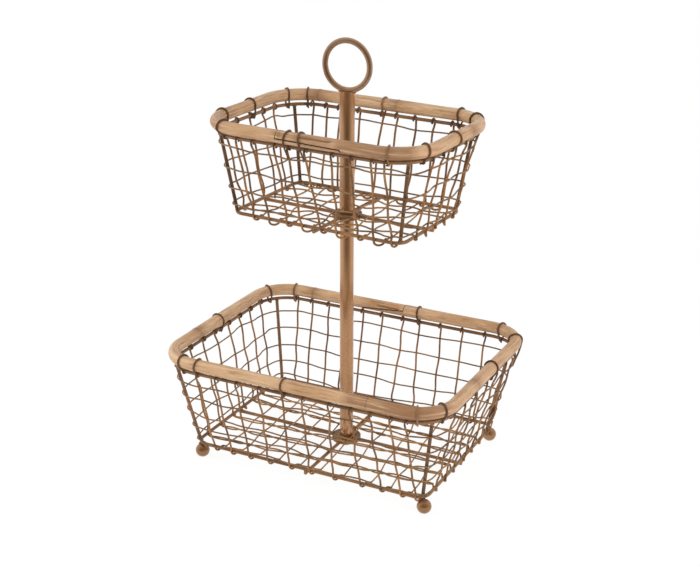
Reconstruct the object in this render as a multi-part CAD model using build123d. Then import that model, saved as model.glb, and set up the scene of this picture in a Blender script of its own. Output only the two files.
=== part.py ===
from build123d import *
import os
from dataclasses import dataclass
from math import asin, cos, hypot, pi, radians, sin, sqrt

# A two-tier wire basket: two woven wire baskets with cane rims, carried on one
# post with a ring handle. Millimetres, +Z up. The origin is on the surface that
# the basket stands on, under the post. +X runs along the baskets' long side and
# -Y is the front.

# Wire and cane thicknesses
frame_rod_diameter = 4.0
upright_diameter = 2.0
weft_diameter = 1.5
floor_wire_diameter = 2.0
rim_tie_diameter = 2.0
cane_diameter = 14.0

# Clearances
weld_gap = 0.15
crossing_gap = 0.15
fit_gap = 0.1
scarf_gap = 0.3
cut_overrun = 1.0

# Lower basket: sizes over the rods' centrelines
lower_base_length = 296.0
lower_base_width = 202.0
lower_base_corner = 14.0
lower_top_length = 347.0
lower_top_width = 257.0
lower_top_corner = 42.0
lower_depth = 104.0
lower_cane_outset = 1.0
lower_scarf_length = 70.0

# Upper basket
upper_base_length = 216.0
upper_base_width = 139.0
upper_base_corner = 13.0
upper_top_length = 261.5
upper_top_width = 177.0
upper_top_corner = 44.0
upper_depth = 92.5
upper_cane_outset = 3.5
upper_scarf_length = 110.0
upper_turn_degrees = -3.5

# Mesh counts and rows, from the bottom of the wall to its top
lower_front_upright_count = 11
lower_side_upright_count = 7
lower_weft_height_shares = (0.04, 0.24, 0.42, 0.62, 0.84)
upper_front_upright_count = 9
upper_side_upright_count = 5
upper_weft_height_shares = (0.10, 0.32, 0.58, 0.85)
upright_tail = 6.0

# Rim ties at the corners, in degrees round each corner from the short side, and
# along the sides, in steps of the uprights' spacing from the middle
corner_tie_degrees = (25.0, 68.0)
lower_side_tie_steps = {"left": (-0.5,), "back": (-1.5,), "right": (0.5,)}
upper_side_tie_steps = {"front": (-0.5, 0.5), "left": (-0.5,), "back": (0.5,), "right": (0.5,)}

# Scarf joints of the cane: side, and place along it as a share of the half length
lower_scarf_side = "back"
lower_scarf_place_share = 0.15
upper_scarf_side = "front"
upper_scarf_place_share = 0.20

# Post
lower_tube_diameter = 16.0
upper_tube_diameter = 17.0
tube_wall = 1.2
lower_tube_length = 275.5
upper_tube_length = 134.5
hub_diameter = 34.0
hub_thickness = 5.0

# Cap and ring handle
cap_thickness = 5.0
cap_spigot_length = 14.0
handle_diameter = 54.5
handle_rod_diameter = 6.6
handle_seat_depth = 2.5

# Tie rod and its nut and washer
tie_rod_diameter = 6.0
tie_rod_engagement = 12.0
tie_rod_showing = 1.5
nut_across_flats = 10.0
nut_thickness = 5.0
washer_diameter = 12.5
washer_thickness = 1.6

# Feet
foot_diameter = 15.0
foot_flat_diameter = 5.0
foot_pin_diameter = 4.0
foot_pin_showing = 2.0
foot_pin_depth = 8.0

# Heights worked out from the sizes above
foot_centre_height = sqrt((foot_diameter / 2) ** 2 - (foot_flat_diameter / 2) ** 2)
foot_top_height = foot_centre_height + foot_diameter / 2
lower_base_height = foot_top_height + foot_pin_showing + frame_rod_diameter / 2
bar_drop = frame_rod_diameter + weld_gap
lower_hub_bottom = lower_base_height - bar_drop - hub_thickness / 2
lower_tube_bottom = lower_hub_bottom + hub_thickness
upper_hub_bottom = lower_tube_bottom + lower_tube_length
upper_base_height = upper_hub_bottom + hub_thickness / 2 + bar_drop
upper_tube_bottom = upper_hub_bottom + hub_thickness
cap_bottom = upper_tube_bottom + upper_tube_length
post_top = cap_bottom + cap_thickness
handle_height = post_top - handle_seat_depth + (handle_diameter + handle_rod_diameter) / 2

SIDES = ("front", "right", "back", "left")
CENTRED_UP = (Align.CENTER, Align.CENTER, Align.MIN)
quarter_turn = pi / 2


@dataclass(frozen=True)
class Basket:
    """Sizes of one basket, over the centrelines of its rods."""

    name: str
    base_length: float
    base_width: float
    base_corner: float
    top_length: float
    top_width: float
    top_corner: float
    depth: float
    base_height: float
    hub_bottom: float
    cane_outset: float
    scarf_side: str
    scarf_place_share: float
    scarf_length: float
    front_upright_count: int
    side_upright_count: int
    weft_height_shares: tuple
    side_tie_steps: dict
    turn_degrees: float

    @property
    def top_height(self):
        return self.base_height + self.depth

    @property
    def cane_rise(self):
        """Height of the cane's centre above the top ring's: a hook lies between the two."""
        stack = (frame_rod_diameter + cane_diameter) / 2 + upright_diameter + 2 * crossing_gap
        return sqrt(stack**2 - self.cane_outset**2)

    def halves(self, height_share, side="front"):
        """Half sizes along and across a side's wall, at a share of the wall's height."""
        half_length = (self.base_length + (self.top_length - self.base_length) * height_share) / 2
        half_width = (self.base_width + (self.top_width - self.base_width) * height_share) / 2
        return (half_length, half_width) if side in ("front", "back") else (half_width, half_length)

    def corner_inset(self, height_share):
        """Distance of a corner post's centre from each of its two walls."""
        radius = self.base_corner + (self.top_corner - self.base_corner) * height_share
        return radius * (1 - sqrt(1 / 2))

    def upright_count(self, side):
        return self.front_upright_count if side in ("front", "back") else self.side_upright_count

    def straight_half(self, height_share, side):
        """Half length of a wall's straight stretch, between its two bends."""
        radius = self.base_corner + (self.top_corner - self.base_corner) * height_share
        return self.halves(height_share, side)[0] - radius

    def upright_step(self, side, height_share):
        """Spacing of a wall's uprights, even between the corner posts but clear of the bends."""
        half_along = self.halves(height_share, side)[0] - self.corner_inset(height_share)
        count = self.upright_count(side)
        return 2 * min(half_along / (count + 1), self.straight_half(height_share, side) / (count - 1))


lower = Basket(
    name="lower",
    base_length=lower_base_length,
    base_width=lower_base_width,
    base_corner=lower_base_corner,
    top_length=lower_top_length,
    top_width=lower_top_width,
    top_corner=lower_top_corner,
    depth=lower_depth,
    base_height=lower_base_height,
    hub_bottom=lower_hub_bottom,
    cane_outset=lower_cane_outset,
    scarf_side=lower_scarf_side,
    scarf_place_share=lower_scarf_place_share,
    scarf_length=lower_scarf_length,
    front_upright_count=lower_front_upright_count,
    side_upright_count=lower_side_upright_count,
    weft_height_shares=lower_weft_height_shares,
    side_tie_steps=lower_side_tie_steps,
    turn_degrees=0,
)
upper = Basket(
    name="upper",
    base_length=upper_base_length,
    base_width=upper_base_width,
    base_corner=upper_base_corner,
    top_length=upper_top_length,
    top_width=upper_top_width,
    top_corner=upper_top_corner,
    depth=upper_depth,
    base_height=upper_base_height,
    hub_bottom=upper_hub_bottom,
    cane_outset=upper_cane_outset,
    scarf_side=upper_scarf_side,
    scarf_place_share=upper_scarf_place_share,
    scarf_length=upper_scarf_length,
    front_upright_count=upper_front_upright_count,
    side_upright_count=upper_side_upright_count,
    weft_height_shares=upper_weft_height_shares,
    side_tie_steps=upper_side_tie_steps,
    turn_degrees=upper_turn_degrees,
)


# Shared shapes


def straight_rod(start, end, diameter):
    """Round rod between two points."""
    run = Vector(*end) - Vector(*start)
    return Plane(origin=start, z_dir=run) * Cylinder(diameter / 2, run.length, align=CENTRED_UP)


def bent_rod(path, diameter):
    """Round rod swept along a path of joined lines and arcs."""
    section = Plane(origin=path @ 0, z_dir=path % 0) * Circle(diameter / 2)
    return sweep(section, path=path)


def rounded_ring(length, width, corner, height, diameter):
    """Closed rod bent to a rounded rectangle."""
    outline = Pos(0, 0, height) * RectangleRounded(length, width, corner)
    return bent_rod(outline.face().outer_wire(), diameter)


def side_directions(side):
    """Directions along a side's wall and out of it."""
    turn = SIDES.index(side) * quarter_turn
    return Vector(cos(turn), sin(turn), 0), Vector(sin(turn), -cos(turn), 0)


def wall_line(basket, side, along_base, along_top):
    """Foot, direction and length of a line up a wall, and the wall's outward normal."""
    along, out = side_directions(side)
    base_out = basket.halves(0, side)[1]
    top_out = basket.halves(1, side)[1]
    foot = along * along_base + out * base_out + Vector(0, 0, basket.base_height)
    head = along * along_top + out * top_out + Vector(0, 0, basket.top_height)
    run = head - foot
    normal = (out * basket.depth - Vector(0, 0, top_out - base_out)).normalized()
    return foot, run.normalized(), run.length, normal


# Pieces of a basket


def corner_post(basket, turn_x, turn_y):
    """Straight post from the base ring's bend to the top ring's bend."""
    ends = []
    for share, height in ((0, basket.base_height), (1, basket.top_height)):
        half_length, half_width = basket.halves(share)
        inset = basket.corner_inset(share)
        ends.append(Vector(turn_x * (half_length - inset), turn_y * (half_width - inset), height))
    run = (ends[1] - ends[0]).normalized()
    stand_off = run * (frame_rod_diameter / 2 + weld_gap)
    return straight_rod(ends[0] + stand_off, ends[1] - stand_off, frame_rod_diameter)


def upright(basket, side, index):
    """Wall wire hooked over the top ring and round under the base ring."""
    beside_bar = (frame_rod_diameter + upright_diameter) / 2 + weld_gap if index == 0 else 0
    places = [index * basket.upright_step(side, share) + beside_bar for share in (0, 1)]
    foot, up, length, normal = wall_line(basket, side, *places)
    reach = (frame_rod_diameter + upright_diameter) / 2 + crossing_gap

    def at(outward, upward):
        return foot + normal * outward + up * upward

    hook = ThreePointArc(at(-reach, length), at(0, length + reach), at(reach, length))
    tail = Line(at(-reach, length - upright_tail), at(-reach, length))
    stem = Line(at(reach, length), at(reach, 0))
    bend = reach * sqrt(1 / 2)
    wrap = ThreePointArc(at(reach, 0), at(bend, -bend), at(0, -reach))
    return bent_rod(Wire([tail, hook, stem, wrap]), upright_diameter)


def weft(basket, side, height_share):
    """Level wire along a wall, inside the uprights."""
    along, out = side_directions(side)
    half_along = basket.straight_half(height_share, side)
    foot, up, length, normal = wall_line(basket, side, 0, 0)
    reach = (frame_rod_diameter + upright_diameter) / 2 + crossing_gap
    inside = reach - (upright_diameter + weft_diameter) / 2 - crossing_gap
    middle = foot + up * (length * height_share) + normal * inside
    return straight_rod(middle - along * half_along, middle + along * half_along, weft_diameter)


def floor_bars(basket, sides):
    """Two thick bars from the hub out under the base ring."""
    height = basket.base_height - bar_drop
    bars = []
    for side in sides:
        along, out = side_directions(side)
        reach = basket.halves(0, side)[1] + frame_rod_diameter / 2
        inner = out * (hub_diameter / 2 + weld_gap) + Vector(0, 0, height)
        bars.append(straight_rod(inner, out * reach + Vector(0, 0, height), frame_rod_diameter))
    return bars


def floor_wires(basket, side, height):
    """Parallel floor wires that run out to a side's rail and its opposite's."""
    along, out = side_directions(side)
    half_run = basket.halves(0, side)[1] - frame_rod_diameter / 2 - weld_gap
    step = basket.upright_step(side, 0)
    count_each_way = basket.upright_count(side) // 2
    wires = []
    for index in range(-count_each_way, count_each_way + 1):
        if index != 0:
            middle = along * (index * step) + Vector(0, 0, height)
            run = out * half_run
            wires.append(straight_rod(middle - run, middle + run, floor_wire_diameter))
    return wires


def hub(basket):
    """Disc that the floor bars are welded to and that the post clamps."""
    disc = Cylinder(hub_diameter / 2, hub_thickness, align=CENTRED_UP)
    hole = Cylinder(tie_rod_diameter / 2 + fit_gap, hub_thickness + 2 * cut_overrun, align=CENTRED_UP)
    return Pos(0, 0, basket.hub_bottom) * (disc - Pos(0, 0, -cut_overrun) * hole)


def rim_cane(basket):
    """Cane bent round above the top ring, its two ends scarfed together."""
    height = basket.top_height + basket.cane_rise
    outset = basket.cane_outset
    length = basket.top_length + 2 * outset
    width = basket.top_width + 2 * outset
    cane = rounded_ring(length, width, basket.top_corner + outset, height, cane_diameter)
    along, out = side_directions(basket.scarf_side)
    half_along, half_across = basket.halves(1, basket.scarf_side)
    middle = along * (half_along * basket.scarf_place_share) + out * (half_across + outset)
    cut_length = hypot(basket.scarf_length, cane_diameter) + 2 * cut_overrun
    saw = Box(cut_length, cane_diameter + 2 * cut_overrun, scarf_gap)
    slope = Plane(origin=middle + Vector(0, 0, height), x_dir=along, z_dir=(0, 0, 1))
    tilt = Rot(0, Vector(cane_diameter, basket.scarf_length).get_angle(Vector(0, 1)), 0)
    return cane - slope * tilt * saw


def rim_tie(basket, ring_point, out):
    """Wire loop that binds the cane down to the top ring."""
    upper_radius = (cane_diameter + rim_tie_diameter) / 2 + crossing_gap
    lower_radius = (frame_rod_diameter + rim_tie_diameter) / 2 + crossing_gap
    rise = Vector(0, 0, 1) * basket.cane_rise + out * basket.cane_outset
    lift = rise.normalized()
    away = (out - lift * out.dot(lift)).normalized()
    lean = asin((upper_radius - lower_radius) / rise.length)

    def on_circle(centre, radius, side):
        return centre + away * (side * radius * cos(lean)) - lift * (radius * sin(lean))

    cane_point = ring_point + rise
    outer_low = on_circle(ring_point, lower_radius, 1)
    outer_high = on_circle(cane_point, upper_radius, 1)
    inner_low = on_circle(ring_point, lower_radius, -1)
    inner_high = on_circle(cane_point, upper_radius, -1)
    loop = [
        Line(outer_low, outer_high),
        ThreePointArc(outer_high, cane_point + lift * upper_radius, inner_high),
        Line(inner_high, inner_low),
        ThreePointArc(inner_low, ring_point - lift * lower_radius, outer_low),
    ]
    return bent_rod(Wire(loop), rim_tie_diameter)


def rim_ties(basket):
    """All the loops round one rim: two at each corner and some along the sides."""
    ties = []
    half_length, half_width = basket.halves(1)
    corner = basket.top_corner
    for turn_x in (-1, 1):
        for turn_y in (-1, 1):
            centre_x, centre_y = turn_x * (half_length - corner), turn_y * (half_width - corner)
            centre = Vector(centre_x, centre_y, basket.top_height)
            for degrees_round in corner_tie_degrees:
                angle = radians(degrees_round)
                out = Vector(turn_x * cos(angle), turn_y * sin(angle), 0)
                ties.append(rim_tie(basket, centre + out * corner, out))
    for side, steps in basket.side_tie_steps.items():
        along, out = side_directions(side)
        rail = out * basket.halves(1, side)[1] + Vector(0, 0, basket.top_height)
        for step in steps:
            ties.append(rim_tie(basket, rail + along * (step * basket.upright_step(side, 1)), out))
    return ties


def basket_nodes(basket):
    """Every piece of one basket, by node name."""
    nodes = {"hub": [hub(basket)], "rim_cane": [rim_cane(basket)], "rim_ties": rim_ties(basket)}
    for ring, height in (("base", basket.base_height), ("top", basket.top_height)):
        sizes = [getattr(basket, f"{ring}_{size}") for size in ("length", "width", "corner")]
        nodes[f"{ring}_ring"] = [rounded_ring(*sizes, height, frame_rod_diameter)]
    for long_name, turn_y in (("front", -1), ("back", 1)):
        for short_name, turn_x in (("left", -1), ("right", 1)):
            nodes[f"{long_name}_{short_name}_post"] = [corner_post(basket, turn_x, turn_y)]
    for side in SIDES:
        each_way = basket.upright_count(side) // 2
        indices = range(-each_way, each_way + 1)
        nodes[f"{side}_uprights"] = [upright(basket, side, index) for index in indices]
        nodes[f"{side}_wefts"] = [weft(basket, side, share) for share in basket.weft_height_shares]
    nodes["long_floor_bars"] = floor_bars(basket, ("left", "right"))
    nodes["cross_floor_bars"] = floor_bars(basket, ("front", "back"))
    bar_top = basket.base_height - bar_drop + frame_rod_diameter / 2
    long_height = bar_top + crossing_gap / 2 + floor_wire_diameter / 2
    cross_height = long_height + floor_wire_diameter + crossing_gap / 2
    nodes["long_floor_wires"] = floor_wires(basket, "right", long_height)
    nodes["cross_floor_wires"] = floor_wires(basket, "front", cross_height)
    turn = Rot(0, 0, basket.turn_degrees)
    return {f"{basket.name}_{name}": [turn * piece for piece in pieces] for name, pieces in nodes.items()}


# Post, handle and feet


def post_tube(diameter, length, bottom):
    """Tube of the post."""
    wall = Cylinder(diameter / 2, length, align=CENTRED_UP)
    bore = Cylinder(diameter / 2 - tube_wall, length + 2 * cut_overrun, align=CENTRED_UP)
    return Pos(0, 0, bottom) * (wall - Pos(0, 0, -cut_overrun) * bore)


def upright_ring(rod_diameter):
    """Ring in the plane of the long side, centred where the handle stands."""
    return Pos(0, 0, handle_height) * Rot(90, 0, 0) * Torus(handle_diameter / 2, rod_diameter / 2)


def post_cap():
    """Cap on the upper tube: a saddle for the handle above, and a spigot for the tie rod below."""
    flange = Pos(0, 0, cap_bottom) * Cylinder(upper_tube_diameter / 2, cap_thickness, align=CENTRED_UP)
    spigot_radius = upper_tube_diameter / 2 - tube_wall - fit_gap
    spigot_bottom = cap_bottom - cap_spigot_length
    spigot = Pos(0, 0, spigot_bottom) * Cylinder(spigot_radius, cap_spigot_length, align=CENTRED_UP)
    hole_depth = tie_rod_engagement + fit_gap + cut_overrun
    hole = Cylinder(tie_rod_diameter / 2 + fit_gap, hole_depth, align=CENTRED_UP)
    saddle = upright_ring(handle_rod_diameter + 2 * weld_gap)
    return flange + spigot - Pos(0, 0, spigot_bottom - cut_overrun) * hole - saddle


def ring_handle():
    """Rod bent to a ring, standing in the cap's saddle."""
    return upright_ring(handle_rod_diameter)


def tie_rod():
    """Threaded rod through the whole post."""
    bottom = lower_hub_bottom - washer_thickness - nut_thickness - tie_rod_showing
    top = cap_bottom - cap_spigot_length + tie_rod_engagement
    return Pos(0, 0, bottom) * Cylinder(tie_rod_diameter / 2, top - bottom, align=CENTRED_UP)


def tie_washer():
    """Washer under the lower hub."""
    disc = Cylinder(washer_diameter / 2, washer_thickness, align=CENTRED_UP)
    hole_height = washer_thickness + 2 * cut_overrun
    hole = Pos(0, 0, -cut_overrun) * Cylinder(tie_rod_diameter / 2 + fit_gap, hole_height, align=CENTRED_UP)
    return Pos(0, 0, lower_hub_bottom - washer_thickness) * (disc - hole)


def tie_nut():
    """Hexagon nut that pulls the post together."""
    outline = RegularPolygon(nut_across_flats / 2, 6, major_radius=False)
    bore = Circle(tie_rod_diameter / 2 + fit_gap)
    bottom = lower_hub_bottom - washer_thickness - nut_thickness
    return Pos(0, 0, bottom) * extrude(outline - bore, nut_thickness)


def foot_places():
    """Corners of the lower base ring where the feet stand, by name."""
    inset = lower.corner_inset(0)
    half_length, half_width = lower.halves(0)
    places = {}
    for long_name, turn_y in (("front", -1), ("back", 1)):
        for short_name, turn_x in (("left", -1), ("right", 1)):
            place = Pos(turn_x * (half_length - inset), turn_y * (half_width - inset), 0)
            places[f"{long_name}_{short_name}"] = place
    return places


def foot_ball():
    """Ball foot with a small flat to stand on and a hole for its pin."""
    ball = Pos(0, 0, foot_centre_height) * Sphere(foot_diameter / 2)
    ground = Cylinder(foot_diameter / 2, foot_diameter, align=(Align.CENTER, Align.CENTER, Align.MAX))
    hole = Cylinder(foot_pin_diameter / 2 + fit_gap, foot_diameter, align=CENTRED_UP)
    return ball - ground - Pos(0, 0, foot_top_height - foot_pin_depth - fit_gap) * hole


def foot_pin():
    """Pin from the base ring's underside down into the ball."""
    bottom = foot_top_height - foot_pin_depth
    top = lower_base_height - frame_rod_diameter / 2 - weld_gap
    return Pos(0, 0, bottom) * Cylinder(foot_pin_diameter / 2, top - bottom, align=CENTRED_UP)


def post_nodes():
    """The post, its fastening, the handle and the feet, by node name."""
    nodes = {
        "lower_post_tube": [post_tube(lower_tube_diameter, lower_tube_length, lower_tube_bottom)],
        "upper_post_tube": [post_tube(upper_tube_diameter, upper_tube_length, upper_tube_bottom)],
        "post_cap": [post_cap()],
        "ring_handle": [ring_handle()],
        "tie_rod": [tie_rod()],
        "tie_washer": [tie_washer()],
        "tie_nut": [tie_nut()],
        "foot_pins": [place * foot_pin() for place in foot_places().values()],
    }
    for name, place in foot_places().items():
        nodes[f"{name}_foot"] = [place * foot_ball()]
    return nodes


def write_nodes(nodes):
    """One STEP file for each node."""
    os.makedirs("parts", exist_ok=True)
    for name, pieces in nodes.items():
        solids = [solid for piece in pieces for solid in piece.solids()]
        shape = solids[0] if len(solids) == 1 else Compound(solids)
        export_step(shape, f"parts/{name}.step")


write_nodes({**post_nodes(), **basket_nodes(lower), **basket_nodes(upper)})
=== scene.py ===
"""Looks of a two-tier basket: woven wire and cane rims on a post with a ring handle.

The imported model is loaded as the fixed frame. Its rods, tubes, hubs, corner posts and handle keep
their shapes and get their finishes here. The woven wires, the loops that bind the rims, the canes
and the ball feet are made again, bent, crimped and scarfed as handwork is, and beads of weld and a
few short wires are added. Lengths are in metres, +Z is up, +X runs along the long side and -Y is the
front.
"""
import logging
import math
import random
from collections.abc import Callable, Iterable, Sequence
from dataclasses import dataclass, field
from enum import Enum
from functools import cached_property

import bmesh
import bpy
from mathutils import Matrix, Vector, noise


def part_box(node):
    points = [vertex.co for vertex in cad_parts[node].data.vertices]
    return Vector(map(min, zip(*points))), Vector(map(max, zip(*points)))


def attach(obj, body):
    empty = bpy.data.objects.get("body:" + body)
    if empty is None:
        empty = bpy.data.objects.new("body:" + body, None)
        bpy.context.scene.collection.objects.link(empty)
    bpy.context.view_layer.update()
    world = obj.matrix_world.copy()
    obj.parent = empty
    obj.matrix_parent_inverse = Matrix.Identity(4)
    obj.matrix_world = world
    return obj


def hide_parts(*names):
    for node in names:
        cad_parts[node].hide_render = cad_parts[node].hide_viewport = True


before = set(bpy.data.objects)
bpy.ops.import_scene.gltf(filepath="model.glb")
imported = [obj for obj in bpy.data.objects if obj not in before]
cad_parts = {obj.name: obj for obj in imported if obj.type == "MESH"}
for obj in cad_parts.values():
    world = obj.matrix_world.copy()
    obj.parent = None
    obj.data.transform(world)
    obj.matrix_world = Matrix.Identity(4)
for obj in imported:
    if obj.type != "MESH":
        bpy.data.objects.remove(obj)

log = logging.getLogger("basket")

MM = 0.001
CORNERS = ("front_left", "front_right", "back_left", "back_right")
BODY = "root"
UP = Vector((0.0, 0.0, 1.0))
# A corner post stands in the middle of its bend.
MID_BEND = math.pi / 4
# Wires that touch lie this far apart.
CLEARANCE = 0.05 * MM
# A wire has this many lengths of tube between two of its points, and more sides at more roundness.
WIRE_STEPS = 3
WIRE_ROUNDNESS = 1
SHARP_EDGE = math.radians(40)
NO_EDGE = math.radians(180)
SAME_PLACE = 0.001 * MM
# Most of a noise pattern's factor lies in this span.
MIDDLE_SPAN = (0.3, 0.7)
# Places of the colours among a mix node's sockets.
MIX_COLOURS = (6, 7)
MIX_RESULT = 2
Colour = tuple[float, float, float]
Span = tuple[float, float]
Socket = bpy.types.NodeSocket
Vert = bmesh.types.BMVert


def seen(red: int, green: int, blue: int) -> Colour:
    """A colour as it is seen on a screen, in linear light.

    Args:
        red: Red from 0 to 255.
        green: Green from 0 to 255.
        blue: Blue from 0 to 255.

    Returns:
        The three linear values.
    """
    def linear(value: int) -> float:
        """One value in linear light."""
        share = value / 255
        return share / 12.92 if share <= 0.04045 else ((share + 0.055) / 1.055) ** 2.4

    return linear(red), linear(green), linear(blue)


class Side(Enum):
    """The four walls of a basket, counter-clockwise as seen from above."""

    FRONT = 0
    RIGHT = 1
    BACK = 2
    LEFT = 3

    @property
    def along(self) -> Vector:
        """Direction along the wall."""
        turn = self.value * math.pi / 2
        return Vector((math.cos(turn), math.sin(turn), 0.0))

    @property
    def out(self) -> Vector:
        """Direction out of the basket."""
        turn = self.value * math.pi / 2
        return Vector((math.sin(turn), -math.cos(turn), 0.0))

    @property
    def opposite(self) -> "Side":
        """The wall across the basket."""
        return Side((self.value + 2) % len(Side))

    @property
    def long(self) -> bool:
        """Whether this is a long wall."""
        return self in (Side.FRONT, Side.BACK)

    def round_bend(self, angle: float) -> Vector:
        """Direction out of the bend after the wall, by the angle round it."""
        return self.out * math.cos(angle) + self.along * math.sin(angle)


class Slot(Enum):
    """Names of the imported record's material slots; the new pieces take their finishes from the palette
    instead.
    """

    CANE = "cane"
    WIRE = "wire_paint"
    POST = "post_paint"


class FootEnd(Enum):
    """How the lower end of a wall wire holds the base ring."""

    KNOB = "knob"
    OPEN_LOOP = "open loop"


class Texture(Enum):
    """Characters of a noise pattern: its octaves, and how much the finer ones count."""

    SMOOTH = (2.0, 0.55)
    SCRATCHED = (2.0, 0.5)
    SPECKLED = (2.0, 0.6)
    SPANGLED = (3.0, 0.55)
    FIBROUS = (3.0, 0.6)
    PATCHY = (4.0, 0.6)
    RUBBED = (4.0, 0.65)
    CLOUDY = (5.0, 0.62)
    BLOTCHY = (5.0, 0.66)


# Finishes


def around(middle: float, spread: Span) -> Span:
    """A span about a value, by how far it reaches below and above."""
    return middle - spread[0], middle + spread[1]


class Graph:
    """The nodes of one material or world, added and joined by short calls."""

    def __init__(self, owner: bpy.types.Material | bpy.types.World) -> None:
        """Empties the owner's node tree.

        Args:
            owner: The material or world that the nodes belong to.
        """
        owner.use_nodes = True
        self.tree = owner.node_tree
        self.tree.nodes.clear()

    def add(self, kind: str, **settings: object) -> bpy.types.Node:
        """Adds a node.

        Args:
            kind: The node's type, without its ShaderNode prefix.
            settings: Attributes of the node, or defaults of the inputs with that name.

        Returns:
            The new node.
        """
        node = self.tree.nodes.new("ShaderNode" + kind)
        for key, value in settings.items():
            if hasattr(node, key):
                setattr(node, key, value)
            else:
                node.inputs[key.replace("_", " ").title()].default_value = value
        return node

    def join(self, source: Socket, target: Socket) -> None:
        """Joins an output to an input."""
        self.tree.links.new(source, target)

    def noise(self, place: Socket, scale: float, texture: Texture, lengthwise: float = 1.0) -> Socket:
        """A noise pattern.

        Args:
            place: Coordinates in metres.
            scale: Cycles in a metre.
            texture: The pattern's character.
            lengthwise: Scale along Z, besides the scale: less than 1 draws the pattern out.

        Returns:
            The pattern's factor, about 0.5 on average.
        """
        mapping = self.add("Mapping")
        mapping.inputs["Scale"].default_value = (1.0, 1.0, lengthwise)
        self.join(place, mapping.inputs["Vector"])
        octaves, roughness = texture.value
        pattern = self.add("TexNoise", Scale=scale, Detail=octaves, Roughness=roughness)
        self.join(mapping.outputs["Vector"], pattern.inputs["Vector"])
        return pattern.outputs["Fac"]

    def ramp(self, factor: Socket, low: float, high: float, first: float = 0.0, last: float = 1.0) -> Socket:
        """Maps a factor from one range to another and holds it there.

        Args:
            factor: The value to map.
            low: The value that becomes first.
            high: The value that becomes last.
            first: Result at low.
            last: Result at high.

        Returns:
            The mapped value.
        """
        node = self.add("MapRange")
        node.clamp = True
        self.join(factor, node.inputs["Value"])
        for name, value in (("From Min", low), ("From Max", high), ("To Min", first), ("To Max", last)):
            node.inputs[name].default_value = value
        return node.outputs["Result"]

    def blend(self, factor: Socket, first: Colour | Socket, second: Colour | Socket) -> Socket:
        """Mixes two colours.

        Args:
            factor: Share of the second.
            first: A colour or the socket of one.
            second: A colour or the socket of one.

        Returns:
            The mixed colour.
        """
        node = self.add("Mix", data_type="RGBA", blend_type="MIX")
        self.join(factor, node.inputs["Factor"])
        for number, value in zip(MIX_COLOURS, (first, second)):
            if isinstance(value, tuple):
                node.inputs[number].default_value = (*value, 1.0)
            else:
                self.join(value, node.inputs[number])
        return node.outputs[MIX_RESULT]

    def math(self, operation: str, first: Socket | float, second: Socket | float) -> Socket:
        """One step of arithmetic.

        Args:
            operation: The math node's operation.
            first: A value or the socket of one.
            second: A value or the socket of one.

        Returns:
            The result.
        """
        node = self.add("Math", operation=operation)
        for socket, value in zip(node.inputs, (first, second)):
            if isinstance(value, (int, float)):
                socket.default_value = value
            else:
                self.join(value, socket)
        return node.outputs[0]

    def near_height(self, place: Socket, height: float, reach: float, full_share: float = 0.7) -> Socket:
        """How near a place is to a height: 1 at the height, 0 from its reach on.

        Args:
            place: Coordinates in metres.
            height: The height.
            reach: Distance above or below it.
            full_share: Share of the reach up to which it is 1.

        Returns:
            The nearness.
        """
        parts = self.add("SeparateXYZ")
        self.join(place, parts.inputs[0])
        off = self.math("ABSOLUTE", self.math("SUBTRACT", parts.outputs["Z"], height), 0.0)
        return self.ramp(off, reach * full_share, reach, 1.0, 0.0)

    def bump(self, height: Socket, depth: float, under: Socket | None = None) -> Socket:
        """Relief in the surface.

        Args:
            height: Pattern of the relief.
            depth: Its depth in metres.
            under: Normal of another relief that this one lies on.

        Returns:
            The normal.
        """
        node = self.add("Bump", Distance=depth)
        self.join(height, node.inputs["Height"])
        if under is not None:
            self.join(under, node.inputs["Normal"])
        return node.outputs["Normal"]

    def looked_at(self, path: bpy.types.Node) -> Socket:
        """Whether the camera looks at a place, straight or through clear things."""
        return self.math("MAXIMUM", path.outputs["Is Camera Ray"], path.outputs["Is Transmission Ray"])

    def mix_shaders(self, factor: Socket, first: bpy.types.Node, second: bpy.types.Node) -> bpy.types.Node:
        """Mixes two shaders.

        Args:
            factor: Share of the second.
            first: Node of the first.
            second: Node of the second.

        Returns:
            The node that mixes them.
        """
        node = self.add("MixShader")
        for socket, source in zip(node.inputs, (factor, first.outputs[0], second.outputs[0])):
            self.join(source, socket)
        return node

    def surface(self, roughness: Socket, colour: Socket, normal: Socket, **constants: float) -> None:
        """The surface shader and the material's output.

        Args:
            roughness: Socket of the roughness.
            colour: Socket of the base colour.
            normal: Socket of the normal.
            constants: Defaults of the shader's inputs.
        """
        shader = self.add("BsdfPrincipled")
        for name, value in constants.items():
            shader.inputs[name.replace("_", " ").title()].default_value = value
        self.join(roughness, shader.inputs["Roughness"])
        self.join(colour, shader.inputs["Base Color"])
        self.join(normal, shader.inputs["Normal"])
        self.join(shader.outputs[0], self.add("OutputMaterial").inputs["Surface"])


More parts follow.
